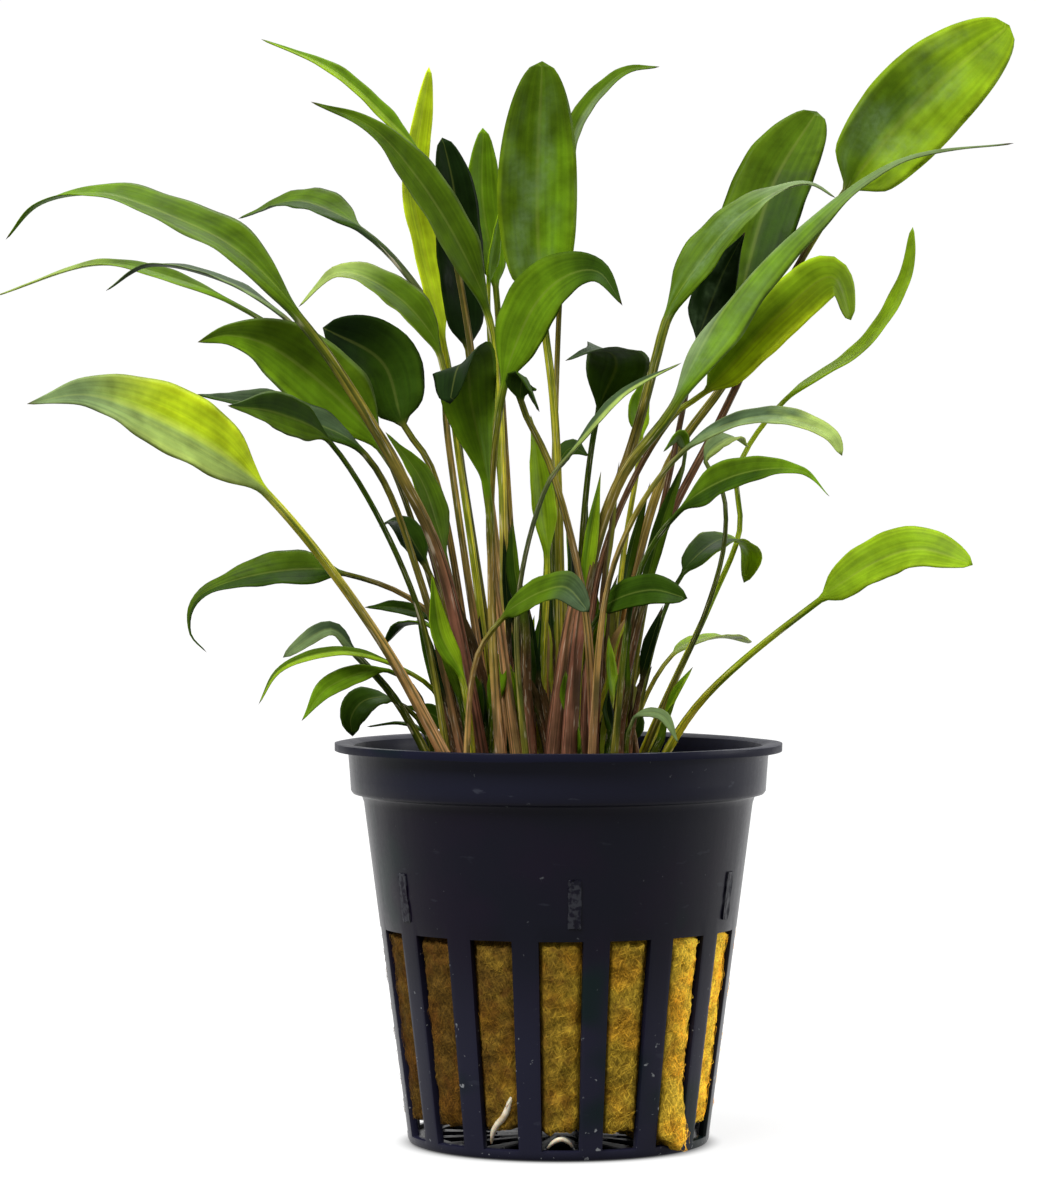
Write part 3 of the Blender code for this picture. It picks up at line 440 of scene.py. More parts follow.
# How the blade's width grows towards its widest place and falls off to the tip, and the share
# of its length over which its foot widens out of the stalk
OUTLINES = {
    "pointed": (0.65, 0.95, 0.28),
    "round": (0.55, 0.6, 0.12),
    "blunt": (0.42, 0.5, 0.12),
    "drawn out": (0.6, 2.2, 0.22),
    "spoon": (1.2, 0.5, 0.3),
}

# The lower and the upper tone of each kind of stalk
STALKS = {
    "pink": ("pink_brown", "olive"),
    "tan": ("tan", "lime"),
    "umber": ("pink_brown", "umber"),
    "olive": ("tan", "olive"),
    "lime": ("olive", "lime"),
    "fresh": ("lime", "bright"),
    "green": ("olive", "dark"),
    "grey": ("olive", "slate"),
}


def colour_property(name, description, colour):
    return FloatVectorProperty(
        name=name, description=description, subtype="COLOR", size=3, min=0, max=1, default=colour
    )


class PotSettings(PropertyGroup):
    edge_rounding: FloatProperty(
        name="Edge rounding", description="Radius that the lip's and the slots' edges are rounded by",
        default=0.00016, unit="LENGTH", min=0.00002, max=0.0004,
    )
    plastic: colour_property("Plastic", "Colour of the black plastic", (0.0026, 0.0028, 0.0070))
    # The clouds are a painted purplish reflection, spread in clouds all over the plastic
    clouds: colour_property("Clouds", "Purple tint in clouds all over", (0.0042, 0.0026, 0.0082))
    foot: colour_property("Foot", "Worn tint near the foot", (0.0095, 0.0095, 0.0205))
    collar: colour_property("Collar", "Tint of the collar", (0.0058, 0.0062, 0.0150))
    # The green spots are a painted greenish reflection in a few places
    green: colour_property("Green spots", "Greenish tint in a few spots", (0.0018, 0.0072, 0.0080))
    scuffs: colour_property("Scuffs", "Colour of the scuffs", (0.06, 0.065, 0.085))
    marks: colour_property("Marks", "Colour of the rough moulded marks", (0.05, 0.052, 0.06))
    dust: colour_property("Dust", "Colour of the dust specks", (0.20, 0.21, 0.22))


class WoolSettings(PropertyGroup):
    fibres_per_slot: IntProperty(
        name="Fibres per slot", description="Loose fibres that show in each slot", default=170, min=0, max=400
    )
    fibre_radius: FloatProperty(
        name="Fibre radius", description="Radius of one fibre", default=0.000017, unit="LENGTH",
        min=0.00001, max=0.0001,
    )
    # The golden and the brown wool are painted light and shade: the wool is painted lit on the right and
    # shaded on the left
    golden: colour_property("Golden wool", "Colour of the wool on the right", (0.74, 0.49, 0.042))
    brown: colour_property("Brown wool", "Colour of the wool on the left", (0.135, 0.072, 0.010))
    spots: colour_property("Spots", "Colour of the reddish spots", (0.12, 0.045, 0.008))


class LeafSettings(PropertyGroup):
    thickness: FloatProperty(
        name="Blade thickness", description="Thickness of a blade beside its midrib", default=0.00034,
        unit="LENGTH", min=0.0001, max=0.001,
    )
    wave: FloatProperty(
        name="Edge wave", description="How far a blade's edge waves, as a share of its width", default=0.022,
        subtype="FACTOR", min=0, max=0.2,
    )
    short_stem_count: IntProperty(
        name="Short stems", description="Short stems at the foot of the plant", default=95, min=1, max=200
    )
    deep: colour_property("Deep green", "Blades in deep shade", (0.007, 0.018, 0.003))
    dark: colour_property("Dark green", "Dark blades", (0.024, 0.056, 0.003))
    forest: colour_property("Forest green", "Dark, even blades", (0.062, 0.118, 0.004))
    middle: colour_property("Middle green", "Most blades", (0.105, 0.205, 0.006))
    bright: colour_property("Bright green", "Young blades", (0.21, 0.34, 0.010))
    yellow: colour_property("Yellow green", "Blades with light behind them", (0.43, 0.56, 0.014))
    pale: colour_property("Pale green", "Pale undersides", (0.25, 0.34, 0.085))
    # The grey and the slate greens are painted sheen: grey reflection laid into the blade's colour
    grey: colour_property("Grey green", "Blades with a grey sheen", (0.135, 0.20, 0.075))
    slate: colour_property("Slate green", "Dark blades with a grey sheen", (0.045, 0.075, 0.032))
    olive: colour_property("Olive", "Upper stalks", (0.16, 0.165, 0.022))
    lime: colour_property("Lime", "Yellow-green stalks", (0.34, 0.40, 0.03))
    tan: colour_property("Tan", "Tan stalks", (0.34, 0.215, 0.095))
    umber: colour_property("Umber", "Dark brown stalks", (0.07, 0.048, 0.018))
    pink_brown: colour_property("Pink brown", "Brown feet of the stalks", (0.205, 0.105, 0.062))
    tip_brown: colour_property("Tip brown", "Withered tips", (0.05, 0.025, 0.01))


class StageSettings(PropertyGroup):
    floor: colour_property("Floor", "Colour of the floor", (0.10, 0.10, 0.10))
    surround: FloatProperty(
        name="Surround", description="How white the surround looks", default=1.02, min=0, max=5
    )
    fill: FloatProperty(
        name="Fill", description="How much light the surround sheds", default=0.26, min=0, max=5
    )
    # The floor's glow round the pot is a painted shadow: the floor is painted a faint grey there
    painted_shadow_glow: FloatProperty(
        name="Floor glow", description="How white the floor looks under the pot", default=0.86, min=0, max=1
    )
    key_power: FloatProperty(
        name="Key light", description="Power of the light above", default=13, unit="POWER", min=0
    )
    back_power: FloatProperty(
        name="Back light", description="Power of the light behind the leaves", default=4.5,
        unit="POWER", min=0,
    )
    side_power: FloatProperty(
        name="Side light", description="Power of the light from the right", default=4, unit="POWER", min=0
    )


def deselect_all():
    if bpy.context.object is not None and bpy.context.object.mode != "OBJECT":
        bpy.ops.object.mode_set(mode="OBJECT")
    bpy.ops.object.select_all(action="DESELECT")


def wrapped_sheet(name, rows, columns, place):
    """A sheet of rows by columns rolled into a closed tube: place gives each of its corners.

    Returns the new object. Corners that meet, at the seam and at both ends, are left for the caller to merge.
    """
    deselect_all()
    bpy.ops.mesh.primitive_grid_add(x_subdivisions=rows, y_subdivisions=columns, size=1)
    piece = bpy.context.object
    piece.name = piece.data.name = name
    for vertex in piece.data.vertices:
        row = round((vertex.co.x + 0.5) * rows)
        column = round((vertex.co.y + 0.5) * columns)
        vertex.co = place(row, column % columns, vertex.index)
    return piece


def merge_corners(piece):
    deselect_all()
    piece.select_set(True)
    bpy.context.view_layer.objects.active = piece
    bpy.ops.object.mode_set(mode="EDIT")
    bpy.ops.mesh.select_all(action="SELECT")
    bpy.ops.mesh.remove_doubles(threshold=MERGE_DISTANCE)
    bpy.ops.object.mode_set(mode="OBJECT")


def delete_faces(piece, is_open):
    """Deletes the faces whose middle the test names."""
    bpy.context.tool_settings.mesh_select_mode = (False, False, True)
    bpy.ops.object.mode_set(mode="EDIT")
    bpy.ops.mesh.select_all(action="DESELECT")
    bpy.ops.object.mode_set(mode="OBJECT")
    for polygon in piece.data.polygons:
        polygon.select = is_open(polygon.center)
    bpy.ops.object.mode_set(mode="EDIT")
    bpy.ops.mesh.delete(type="FACE")
    bpy.ops.object.mode_set(mode="OBJECT")


def finish_piece(piece, material, slot, *nodes):
    """Gives the piece its material and its place in the frame, and hides the solid model's nodes that it
    stands for.
    """
    piece.data.materials.clear()
    piece.data.materials.append(material)
    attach(piece, "root")
    if nodes:
        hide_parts(*nodes)


def close_and_smooth(piece):
    merge_corners(piece)
    bpy.ops.object.shade_smooth()


def empty_curve(name, radius, resolution):
    """A new curve with a round section and closed ends, and no line in it yet."""
    deselect_all()
    bpy.ops.curve.primitive_bezier_curve_add()
    curve = bpy.context.object
    curve.name = curve.data.name = name
    curve.data.splines.clear()
    curve.data.bevel_depth = radius
    curve.data.bevel_resolution = resolution
    curve.data.use_fill_caps = True
    return curve


def add_line(curve, kind, places):
    """Adds a line through the places and returns it."""
    spline = curve.data.splines.new(kind)
    spline.points.add(len(places) - 1)
    for point, place in zip(spline.points, places):
        point.co = (*(place * MILLIMETRE), 1)
    return spline


class Nodes:
    """Short calls for the nodes of one material or surround. Lengths in it are in metres."""

    def __init__(self, owner):
        owner.use_nodes = True
        self.owner = owner
        self.tree = owner.node_tree
        self.shader = self.tree.nodes.get("Principled BSDF") or self.tree.nodes.get("Background")

    def add(self, kind, **settings):
        node = self.tree.nodes.new(kind)
        for key, value in settings.items():
            setattr(node, key, value)
        return node

    def put(self, value, socket):
        """Links an output to the socket, or sets a plain value on it."""
        if isinstance(value, bpy.types.NodeSocket):
            self.tree.links.new(value, socket)
        else:
            socket.default_value = value

    def coordinates(self):
        return self.add("ShaderNodeTexCoord").outputs["Object"]

    def position(self, axis):
        """How far along X, Y or Z the place lies."""
        node = self.add("ShaderNodeSeparateXYZ")
        self.put(self.coordinates(), node.inputs[0])
        return node.outputs[axis]

    def from_axis(self):
        """How far the place lies from the pot's axis."""
        flat = self.add("ShaderNodeVectorMath", operation="MULTIPLY")
        self.put(self.coordinates(), flat.inputs[0])
        flat.inputs[1].default_value = (1, 1, 0)
        away = self.add("ShaderNodeVectorMath", operation="LENGTH")
        self.put(flat.outputs[0], away.inputs[0])
        return away.outputs["Value"]

    def in_view(self):
        """1 for what the camera or a gloss sees, 0 for the light that falls on the plant."""
        path = self.add("ShaderNodeLightPath")
        return self.maths("MAXIMUM", path.outputs["Is Camera Ray"], path.outputs["Is Glossy Ray"])

    def attribute(self, name, output="Fac"):
        return self.add("ShaderNodeAttribute", attribute_name=name).outputs[output]

    def maths(self, operation, first, second=0.0, third=0.0):
        node = self.add("ShaderNodeMath", operation=operation)
        for value, socket in zip((first, second, third), node.inputs):
            self.put(value, socket)
        return node.outputs[0]

    def product(self, value, *factors):
        for factor in factors:
            value = self.maths("MULTIPLY", value, factor)
        return value

    def ramp(self, value, low, high, start=0.0, end=1.0):
        """start up to low, end from high, and eased between."""
        node = self.add("ShaderNodeMapRange", interpolation_type="SMOOTHSTEP")
        for number, socket in zip((value, low, high, start, end), node.inputs):
            self.put(number, socket)
        return node.outputs[0]

    def noise(self, scale, detail, stretch=None, slant=0.0):
        node = self.add("ShaderNodeTexNoise")
        node.inputs["Scale"].default_value = scale
        node.inputs["Detail"].default_value = detail
        vector = self.coordinates()
        if stretch:
            mapping = self.add("ShaderNodeMapping")
            mapping.vector_type = "TEXTURE"
            mapping.inputs["Rotation"].default_value = (0, math.radians(slant), 0)
            mapping.inputs["Scale"].default_value = [1 / value for value in stretch]
            self.put(vector, mapping.inputs["Vector"])
            vector = mapping.outputs[0]
        self.put(vector, node.inputs["Vector"])
        return node.outputs["Fac"]

    def lengthwise(self, across, along, fineness, breaks, detail):
        """Noise drawn out along the blade or stalk, a little different from leaf to leaf."""
        node = self.add("ShaderNodeTexNoise")
        node.inputs["Scale"].default_value = 1.0
        node.inputs["Detail"].default_value = detail
        vector = self.add("ShaderNodeCombineXYZ")
        self.put(self.maths("MULTIPLY", across, fineness), vector.inputs["X"])
        self.put(self.maths("MULTIPLY", along, breaks), vector.inputs["Y"])
        spread = self.add("ShaderNodeVectorMath", operation="MULTIPLY_ADD")
        self.put(self.coordinates(), spread.inputs[0])
        spread.inputs[1].default_value = (40, 40, 12)
        self.put(vector.outputs[0], spread.inputs[2])
        self.put(spread.outputs[0], node.inputs["Vector"])
        return node.outputs["Fac"]

    def mix(self, share, first, second, blend="MIX"):
        node = self.add("ShaderNodeMix", data_type="RGBA", blend_type=blend)
        self.put(share, node.inputs["Factor"])
        for value, socket in ((first, node.inputs[6]), (second, node.inputs[7])):
            self.put(value if isinstance(value, bpy.types.NodeSocket) else (*value, 1), socket)
        return node.outputs[2]

    def layers(self, colour, *tints):
        """The colour with tints laid over it one by one, each given as (share, tint)."""
        for share, tint in tints:
            colour = self.mix(share, colour, tint)
        return colour

    def times(self, colour, factor):
        return self.mix(1.0, colour, factor, "MULTIPLY")

    def grey(self, value):
        """The value as a shade of grey."""
        node = self.add("ShaderNodeCombineXYZ")
        for socket in node.inputs:
            self.put(value, socket)
        return node.outputs[0]

    def bump(self, height, strength, distance):
        node = self.add("ShaderNodeBump")
        node.inputs["Strength"].default_value = strength
        node.inputs["Distance"].default_value = distance
        self.put(height, node.inputs["Height"])
        self.put(node.outputs[0], self.shader.inputs["Normal"])
        return node.outputs[0]


def body_radius(height):
    """Outer radius of the tapered body below the collar."""
    body_top = POT_HEIGHT - COLLAR_HEIGHT
    share = (height - FOOT_ROUNDING) / (body_top - FOOT_ROUNDING)
    return (FOOT_DIAMETER + (BODY_TOP_DIAMETER - FOOT_DIAMETER) * share) / 2


def slot_middle(slot):
    """Direction of the middle of a slot, with the slots counted from the front to the right."""
    return -90 + SLOT_TURN + slot * 360 / SLOT_COUNT


def slot_offset(x, y):
    """How many degrees the place lies from the middle of the nearest slot."""
    pitch = 360 / SLOT_COUNT
    angle = math.degrees(math.atan2(y, x)) + 90 - SLOT_TURN
    return (angle + pitch / 2) % pitch - pitch / 2


def plastic_material(settings):
    nodes = Nodes(bpy.data.materials.new("black net pot plastic"))
    shader = nodes.shader
    height = nodes.position("Z")
    grain = nodes.noise(1600, 3)
    streaks = nodes.noise(420, 3, stretch=(1, 1, 0.12))
    low_down = nodes.ramp(height, 0.030, 0.008)
    specks = nodes.ramp(nodes.maths("MULTIPLY_ADD", low_down, 0.06, nodes.noise(1250, 2)), 0.735, 0.79)
    scratches = nodes.ramp(nodes.noise(500, 3, stretch=(0.45, 0.45, 1.6)), 0.68, 0.74)
    rough = nodes.ramp(nodes.noise(1500, 3), 0.42, 0.58)
    colour = nodes.layers(
        settings.plastic,
        # Painted reflection: purplish clouds all over
        (nodes.ramp(nodes.noise(90, 4), 0.35, 0.65), settings.clouds),
        (nodes.ramp(height, 0.028, 0.012), settings.foot),
        (nodes.ramp(height, 0.042, 0.044), settings.collar),
        # Painted reflection: greenish spots in a few places
        (nodes.ramp(nodes.noise(75, 2), 0.56, 0.70), settings.green),
        (nodes.product(scratches, nodes.ramp(height, 0.042, 0.044, 0.12, 0.35)), settings.scuffs),
        (nodes.product(nodes.attribute("mark"), rough, 0.45), settings.marks),
        (nodes.product(specks, nodes.maths("MULTIPLY_ADD", low_down, 0.7, 0.25)), settings.dust),
    )
    nodes.put(colour, shader.inputs["Base Color"])
    worn = nodes.maths("MULTIPLY_ADD", streaks, 0.22, 0.25)
    nodes.put(nodes.maths("MULTIPLY_ADD", grain, 0.12, worn), shader.inputs["Roughness"])
    shader.inputs["Specular IOR Level"].default_value = 0.04
    # The collar's inside and the lip's upper side have next to no gloss
    in_collar = nodes.product(
        nodes.ramp(nodes.from_axis(), 0.0253, 0.0251), nodes.ramp(height, 0.0433, 0.0437)
    )
    dulled = nodes.maths("MAXIMUM", in_collar, nodes.ramp(height, 0.0479, 0.0482))
    nodes.put(nodes.ramp(dulled, 0.0, 1.0, 0.45, 0.05), shader.inputs["Coat Weight"])
    shader.inputs["Coat Roughness"].default_value = 0.22
    shader.inputs["Coat IOR"].default_value = 1.2
    nodes.bump(nodes.maths("MULTIPLY_ADD", grain, 0.35, streaks), 0.25, 0.00012)
    return nodes.owner


class PLANT_OT_net_pot(Operator):
    """Adds the slotted pot with its collar, lip and moulded marks"""

    bl_idname = "plant.net_pot"
    bl_label = "Net pot"

    def execute(self, context):
        settings = context.scene.plant_pot
        profile = self.profile()
        columns = SLOT_COUNT * COLUMNS_PER_SLOT

        def place(row, column, index):
            radius, height = profile[row]
            angle = self.column_angle(column)
            lip = max(0.0, (radius - COLLAR_TOP_DIAMETER / 2) / LIP_WIDTH)
            height += lip * LIP_WAVE * noise.noise(Vector((math.cos(angle) * 2, math.sin(angle) * 2, 4.7)))
            return Vector((radius * math.cos(angle), radius * math.sin(angle), height)) * MILLIMETRE

        pot = wrapped_sheet("net_pot_shell", len(profile) - 1, columns, place)
        merge_corners(pot)
        delete_faces(pot, self.is_open)
        wall = pot.modifiers.new("wall", "SOLIDIFY")
        wall.thickness = WALL * MILLIMETRE
        wall.offset = -1
        wall.use_even_offset = True
        bpy.ops.object.modifier_apply(modifier=wall.name)
        edges = pot.modifiers.new("rounded edges", "BEVEL")
        edges.width = settings.edge_rounding
        edges.segments = 2
        edges.limit_method = "ANGLE"
        edges.angle_limit = math.radians(40)
        bpy.ops.object.modifier_apply(modifier=edges.name)
        blocks = list(self.marks())
        deselect_all()
        for piece in (*blocks, pot):
            piece.select_set(True)
        bpy.context.view_layer.objects.active = pot
        bpy.ops.object.join()
        bpy.ops.object.shade_smooth_by_angle(angle=math.radians(35))
        finish_piece(pot, plastic_material(settings), "pot_plastic", "net_pot_body", "net_pot_collar")
        return {"FINISHED"}

    @staticmethod
    def profile():
        """(radius, height) from the middle of the floor, out and up the wall, to the lip."""
        body_top = POT_HEIGHT - COLLAR_HEIGHT
        foot = FOOT_DIAMETER / 2
        points = [(0, 0), (FLOOR_SLOT_INNER_RADIUS, 0), (FLOOR_SLOT_OUTER_RADIUS, 0), (foot - 0.7, 0),
                  (foot - 0.2, 0.18), (foot, FOOT_ROUNDING)]
        points.append((body_radius(SLOT_BOTTOM), SLOT_BOTTOM))
        for step in range(1, ROWS_IN_SLOT + 1):
            height = SLOT_BOTTOM + (SLOT_TOP - SLOT_BOTTOM) * step / ROWS_IN_SLOT
            points.append((body_radius(height), height))
        for height in (*RINGS_ABOVE_SLOTS, body_top - 1.6):
            points.append((body_radius(height), height))
        points += [
            (BODY_TOP_DIAMETER / 2 + 0.02, body_top - 0.9),
            (BODY_TOP_DIAMETER / 2 + 0.35, body_top - 0.6),
            (COLLAR_BOTTOM_DIAMETER / 2 - 0.25, body_top - 0.45),
            (COLLAR_BOTTOM_DIAMETER / 2, body_top - 0.1),
            (COLLAR_BOTTOM_DIAMETER / 2 + 0.1, body_top + 1.5),
            (COLLAR_TOP_DIAMETER / 2 - 0.1, POT_HEIGHT - WALL - 0.7),
            (COLLAR_TOP_DIAMETER / 2, POT_HEIGHT - WALL - 0.1),
            (COLLAR_TOP_DIAMETER / 2 + 0.25, POT_HEIGHT - WALL),
            (RIM_DIAMETER / 2, POT_HEIGHT - WALL),
        ]
        return points

    @staticmethod
    def column_angle(column):
        """Direction of a column, clockwise, with columns on both sides of every slot."""
        pitch = 360 / SLOT_COUNT
        slot, step = divmod(column, COLUMNS_PER_SLOT)
        half = COLUMNS_PER_SLOT // 2
        if step <= half:
            offset = -SLOT_ANGLE / 2 + SLOT_ANGLE * step / half
        else:
            offset = SLOT_ANGLE / 2 + (pitch - SLOT_ANGLE) * (step - half) / half
        return math.radians(slot_middle(-slot) - offset)

    @staticmethod
    def marks():
        """The rough upright blocks, sunk in the body above the slots."""
        body_height = POT_HEIGHT - COLLAR_HEIGHT - FOOT_ROUNDING
        slope = math.atan((BODY_TOP_DIAMETER - FOOT_DIAMETER) / 2 / body_height)
        radius = body_radius(MARK_HEIGHT) - MARK_SINK
        for number in range(MARK_COUNT):
            angle = math.radians(-90 + MARK_TURN + 360 / MARK_COUNT * number)
            place = Vector((radius * math.cos(angle), radius * math.sin(angle), MARK_HEIGHT))
            deselect_all()
            bpy.ops.mesh.primitive_cube_add(
                size=1,
                location=place * MILLIMETRE,
                rotation=(0, slope, angle),
                scale=Vector(MARK_SIZE) * MILLIMETRE,
            )
            block = bpy.context.object
            bpy.ops.object.transform_apply(location=True, rotation=True, scale=True)
            bpy.ops.object.mode_set(mode="EDIT")
            bpy.ops.mesh.subdivide(number_cuts=5)
            bpy.ops.transform.vertex_random(offset=MARK_ROUGHNESS * MILLIMETRE, seed=number)
            bpy.ops.object.mode_set(mode="OBJECT")
            marked = block.data.attributes.new("mark", "FLOAT", "POINT")
            marked.data.foreach_set("value", [1.0] * len(block.data.vertices))
            yield block

    @staticmethod
    def is_open(middle):
        x, y, z = (value / MILLIMETRE for value in middle)
        radius = math.hypot(x, y)
        if abs(slot_offset(x, y)) > SLOT_ANGLE / 2:
            return False
        in_wall = SLOT_BOTTOM < z < SLOT_TOP
        in_floor = z < 0.01 and FLOOR_SLOT_INNER_RADIUS < radius < FLOOR_SLOT_OUTER_RADIUS
        return in_wall or in_floor


def wool_material(settings):
    nodes = Nodes(bpy.data.materials.new("rock wool"))
    shader = nodes.shader
    across = nodes.position("X")
    # Painted light and shade: the wool runs from a shaded brown on the left to a lit golden tone on the right
    lit = nodes.ramp(nodes.maths("MULTIPLY_ADD", nodes.noise(260, 4), 0.022, across), -0.002, 0.029)
    fibres = nodes.noise(5200, 4, stretch=(1, 0.5, 0.16), slant=22)
    for slant in (-30, 70):
        crossing = nodes.noise(5200, 4, stretch=(1, 0.5, 0.16), slant=slant)
        fibres = nodes.maths("MAXIMUM", fibres, crossing)
    fresh = nodes.mix(lit, settings.brown, settings.golden)
    rusty = nodes.times(fresh, (1.0, 0.82, 0.70))
    base = nodes.mix(nodes.ramp(nodes.noise(240, 3), 0.44, 0.66), fresh, rusty)
    # Painted light: the wool is painted up to 2.3 times brighter on the right side, and it is darker towards
    # the top; the fibres, the noise and each strand's value give its uneven texture
    light = nodes.product(
        nodes.ramp(fibres, 0.46, 0.74, 0.50, 1.32),
        nodes.ramp(nodes.noise(420, 4), 0.32, 0.62, 0.76, 1.08),
        nodes.maths("MULTIPLY_ADD", nodes.attribute("strand"), 0.75, 0.80),
        nodes.ramp(across, 0.0115, 0.017, 1.0, 2.3),
        nodes.ramp(nodes.position("Z"), 0.034, 0.041, 1.0, 0.4),
    )
    specks = nodes.ramp(nodes.noise(620, 4), 0.52, 0.68)
    colour = nodes.mix(nodes.product(specks, 0.35), nodes.times(base, nodes.grey(light)), settings.spots)
    nodes.put(colour, shader.inputs["Base Color"])
    shader.inputs["Roughness"].default_value = 0.85
    shader.inputs["Specular IOR Level"].default_value = 0.08
    nodes.bump(fibres, 0.5, 0.0003)
    return nodes.owner


def unevenness(place, layers):
    """How far a rough surface stands out at a place, added up over layers of (height, fineness)."""
    return sum(height * noise.noise(place * fineness) for height, fineness in layers)


class PLANT_OT_rock_wool(Operator):
    """Adds the plug of rock wool, uneven and bulging in the slots, and its loose fibres"""

    bl_idname = "plant.rock_wool"
    bl_label = "Rock wool"

    def execute(self, context):
        settings = context.scene.plant_wool
        material = wool_material(settings)
        columns = SLOT_COUNT * WOOL_COLUMNS_PER_SLOT

        def place(row, column, index):
            angle = math.radians(SLOT_TURN - 90 - 360 * column / columns)
            return self.surface(row / WOOL_ROWS, angle) * MILLIMETRE

        plug = wrapped_sheet("rockwool_body", WOOL_ROWS, columns, place)
        close_and_smooth(plug)
        finish_piece(plug, material, "rock_wool", "rockwool_plug")
        fibres = self.fibres(settings)
        finish_piece(fibres, material, "rock_wool", "rockwool_plug")
        return {"FINISHED"}

    @staticmethod
    def surface(share, angle, lift=0.0):
        """A point of the plug: share runs from the middle of its underside to the middle of its top."""
        around = Vector((math.cos(angle), math.sin(angle), 0))
        bottom = WOOL_BOTTOM + unevenness(around, WOOL_EDGE_LAYERS)
        if share < WOOL_SIDE_START:
            height, reach = bottom, share / WOOL_SIDE_START
        elif share < WOOL_SIDE_END:
            up = (share - WOOL_SIDE_START) / (WOOL_SIDE_END - WOOL_SIDE_START)
            height, reach = bottom + (WOOL_TOP - bottom) * up, 1.0
        else:
            height, reach = WOOL_TOP, (1 - share) / (1 - WOOL_SIDE_END)
        place = around * (body_radius(height) - WALL) * reach + Vector((0, 0, height))
        rough = unevenness(place, WOOL_SKIN_LAYERS)
        half_slot = SLOT_ANGLE / 2
        offset = abs(slot_offset(around.x, around.y))
        if height < SLOT_TOP - WOOL_BULGE_MARGIN and offset < half_slot - WOOL_BULGE_MARGIN_ANGLE:
            bulge = WOOL_BULGE - WOOL_BULGE_ROUNDING * (offset / half_slot) ** 2
        else:
            bulge = -WOOL_BEHIND_WALL
        from_frayed = math.degrees(angle) - slot_middle(FRAYED_SLOT) - FRAYED_TURN
        from_frayed = (from_frayed + 180) % 360 - 180
        fray = math.exp(-((from_frayed / FRAYED_HALF_WIDTH) ** 4)) * max(0.0, 1 - height / FRAYED_HEIGHT)
        bulge += fray * FRAYED_OUT
        if reach >= 1.0:
            place += around * (bulge + rough + lift)
        else:
            near_edge = reach**8
            place.z += (rough * 1.5 + lift) * (1 if share > 0.5 else -1) * (1 - near_edge)
            place += around * bulge * near_edge
        place.z -= fray * FRAYED_DOWN * reach
        return place

    def fibres(self, settings):
        """Thin curved fibres that lie on the wool in the slots and fray below its edge."""
        rng = random.Random(11)
        curve = empty_curve("rockwool_fibres", settings.fibre_radius, 0)
        for slot in range(SLOT_COUNT):
            hangs_out = slot == FRAYED_SLOT
            for count in range(settings.fibres_per_slot):
                frayed = count % (3 if hangs_out else 8) == 0
                share = rng.uniform(FIBRE_LOWEST, 0.17) if frayed else 0.12 + 0.50 * rng.random() ** 0.9
                sideways = rng.uniform(-0.46, 0.46) * SLOT_ANGLE
                heading = rng.uniform(0, 2 * math.pi)
                length = rng.uniform(1.2, 4.0)
                bend = rng.uniform(-1.2, 1.2)
                lift = rng.uniform(0.02, 0.45 if frayed and hangs_out else 0.22)
                add_line(curve, "POLY", self.fibre(slot, share, sideways, heading, length, bend, lift))
        bpy.ops.object.convert(target="MESH")
        fibres = bpy.context.object
        corners = len(fibres.data.vertices)
        strand = [0.0] * corners
        per_fibre = corners // (SLOT_COUNT * settings.fibres_per_slot)
        for start in range(0, corners, per_fibre):
            strand[start: start + per_fibre] = [rng.random() ** 1.5] * per_fibre
        fibres.data.attributes.new("strand", "FLOAT", "POINT").data.foreach_set("value", strand)
        close_and_smooth(fibres)
        return fibres

    def fibre(self, slot, share, sideways, heading, length, bend, lift):
        """Places of one bent fibre that lies on the wool, kept inside its slot."""
        most_aside = SLOT_ANGLE * FIBRE_SPREAD
        share_per_millimetre = (WOOL_SIDE_END - WOOL_SIDE_START) / (WOOL_TOP - WOOL_BOTTOM)
        places = []
        for step in range(FIBRE_POINTS):
            from_middle = step / (FIBRE_POINTS - 1) - 0.5
            direction = heading + bend * from_middle
            rise = from_middle * length * math.sin(direction) * share_per_millimetre
            aside = sideways + from_middle * length * math.cos(direction) * FIBRE_TURN
            angle = slot_middle(slot) + most_aside * math.tanh(aside / most_aside)
            raised = lift * 1.6 * (1 - abs(from_middle))
            kept_share = min(max(share + rise, FIBRE_LOWEST), FIBRE_HIGHEST)
            places.append(self.surface(kept_share, math.radians(angle), raised))
        return places


def root_material():
    nodes = Nodes(bpy.data.materials.new("white root"))
    shader = nodes.shader
    rings = nodes.noise(700, 3)
    colour = nodes.mix(nodes.ramp(rings, 0.35, 0.7), (0.66, 0.60, 0.46), (0.40, 0.30, 0.16))
    nodes.put(colour, shader.inputs["Base Color"])
    nodes.put(nodes.maths("MULTIPLY_ADD", rings, 0.25, 0.25), shader.inputs["Roughness"])
    shader.inputs["Subsurface Weight"].default_value = 0.2
    shader.inputs["Subsurface Scale"].default_value = 0.0008
    nodes.bump(rings, 0.4, 0.0001)
    return nodes.owner


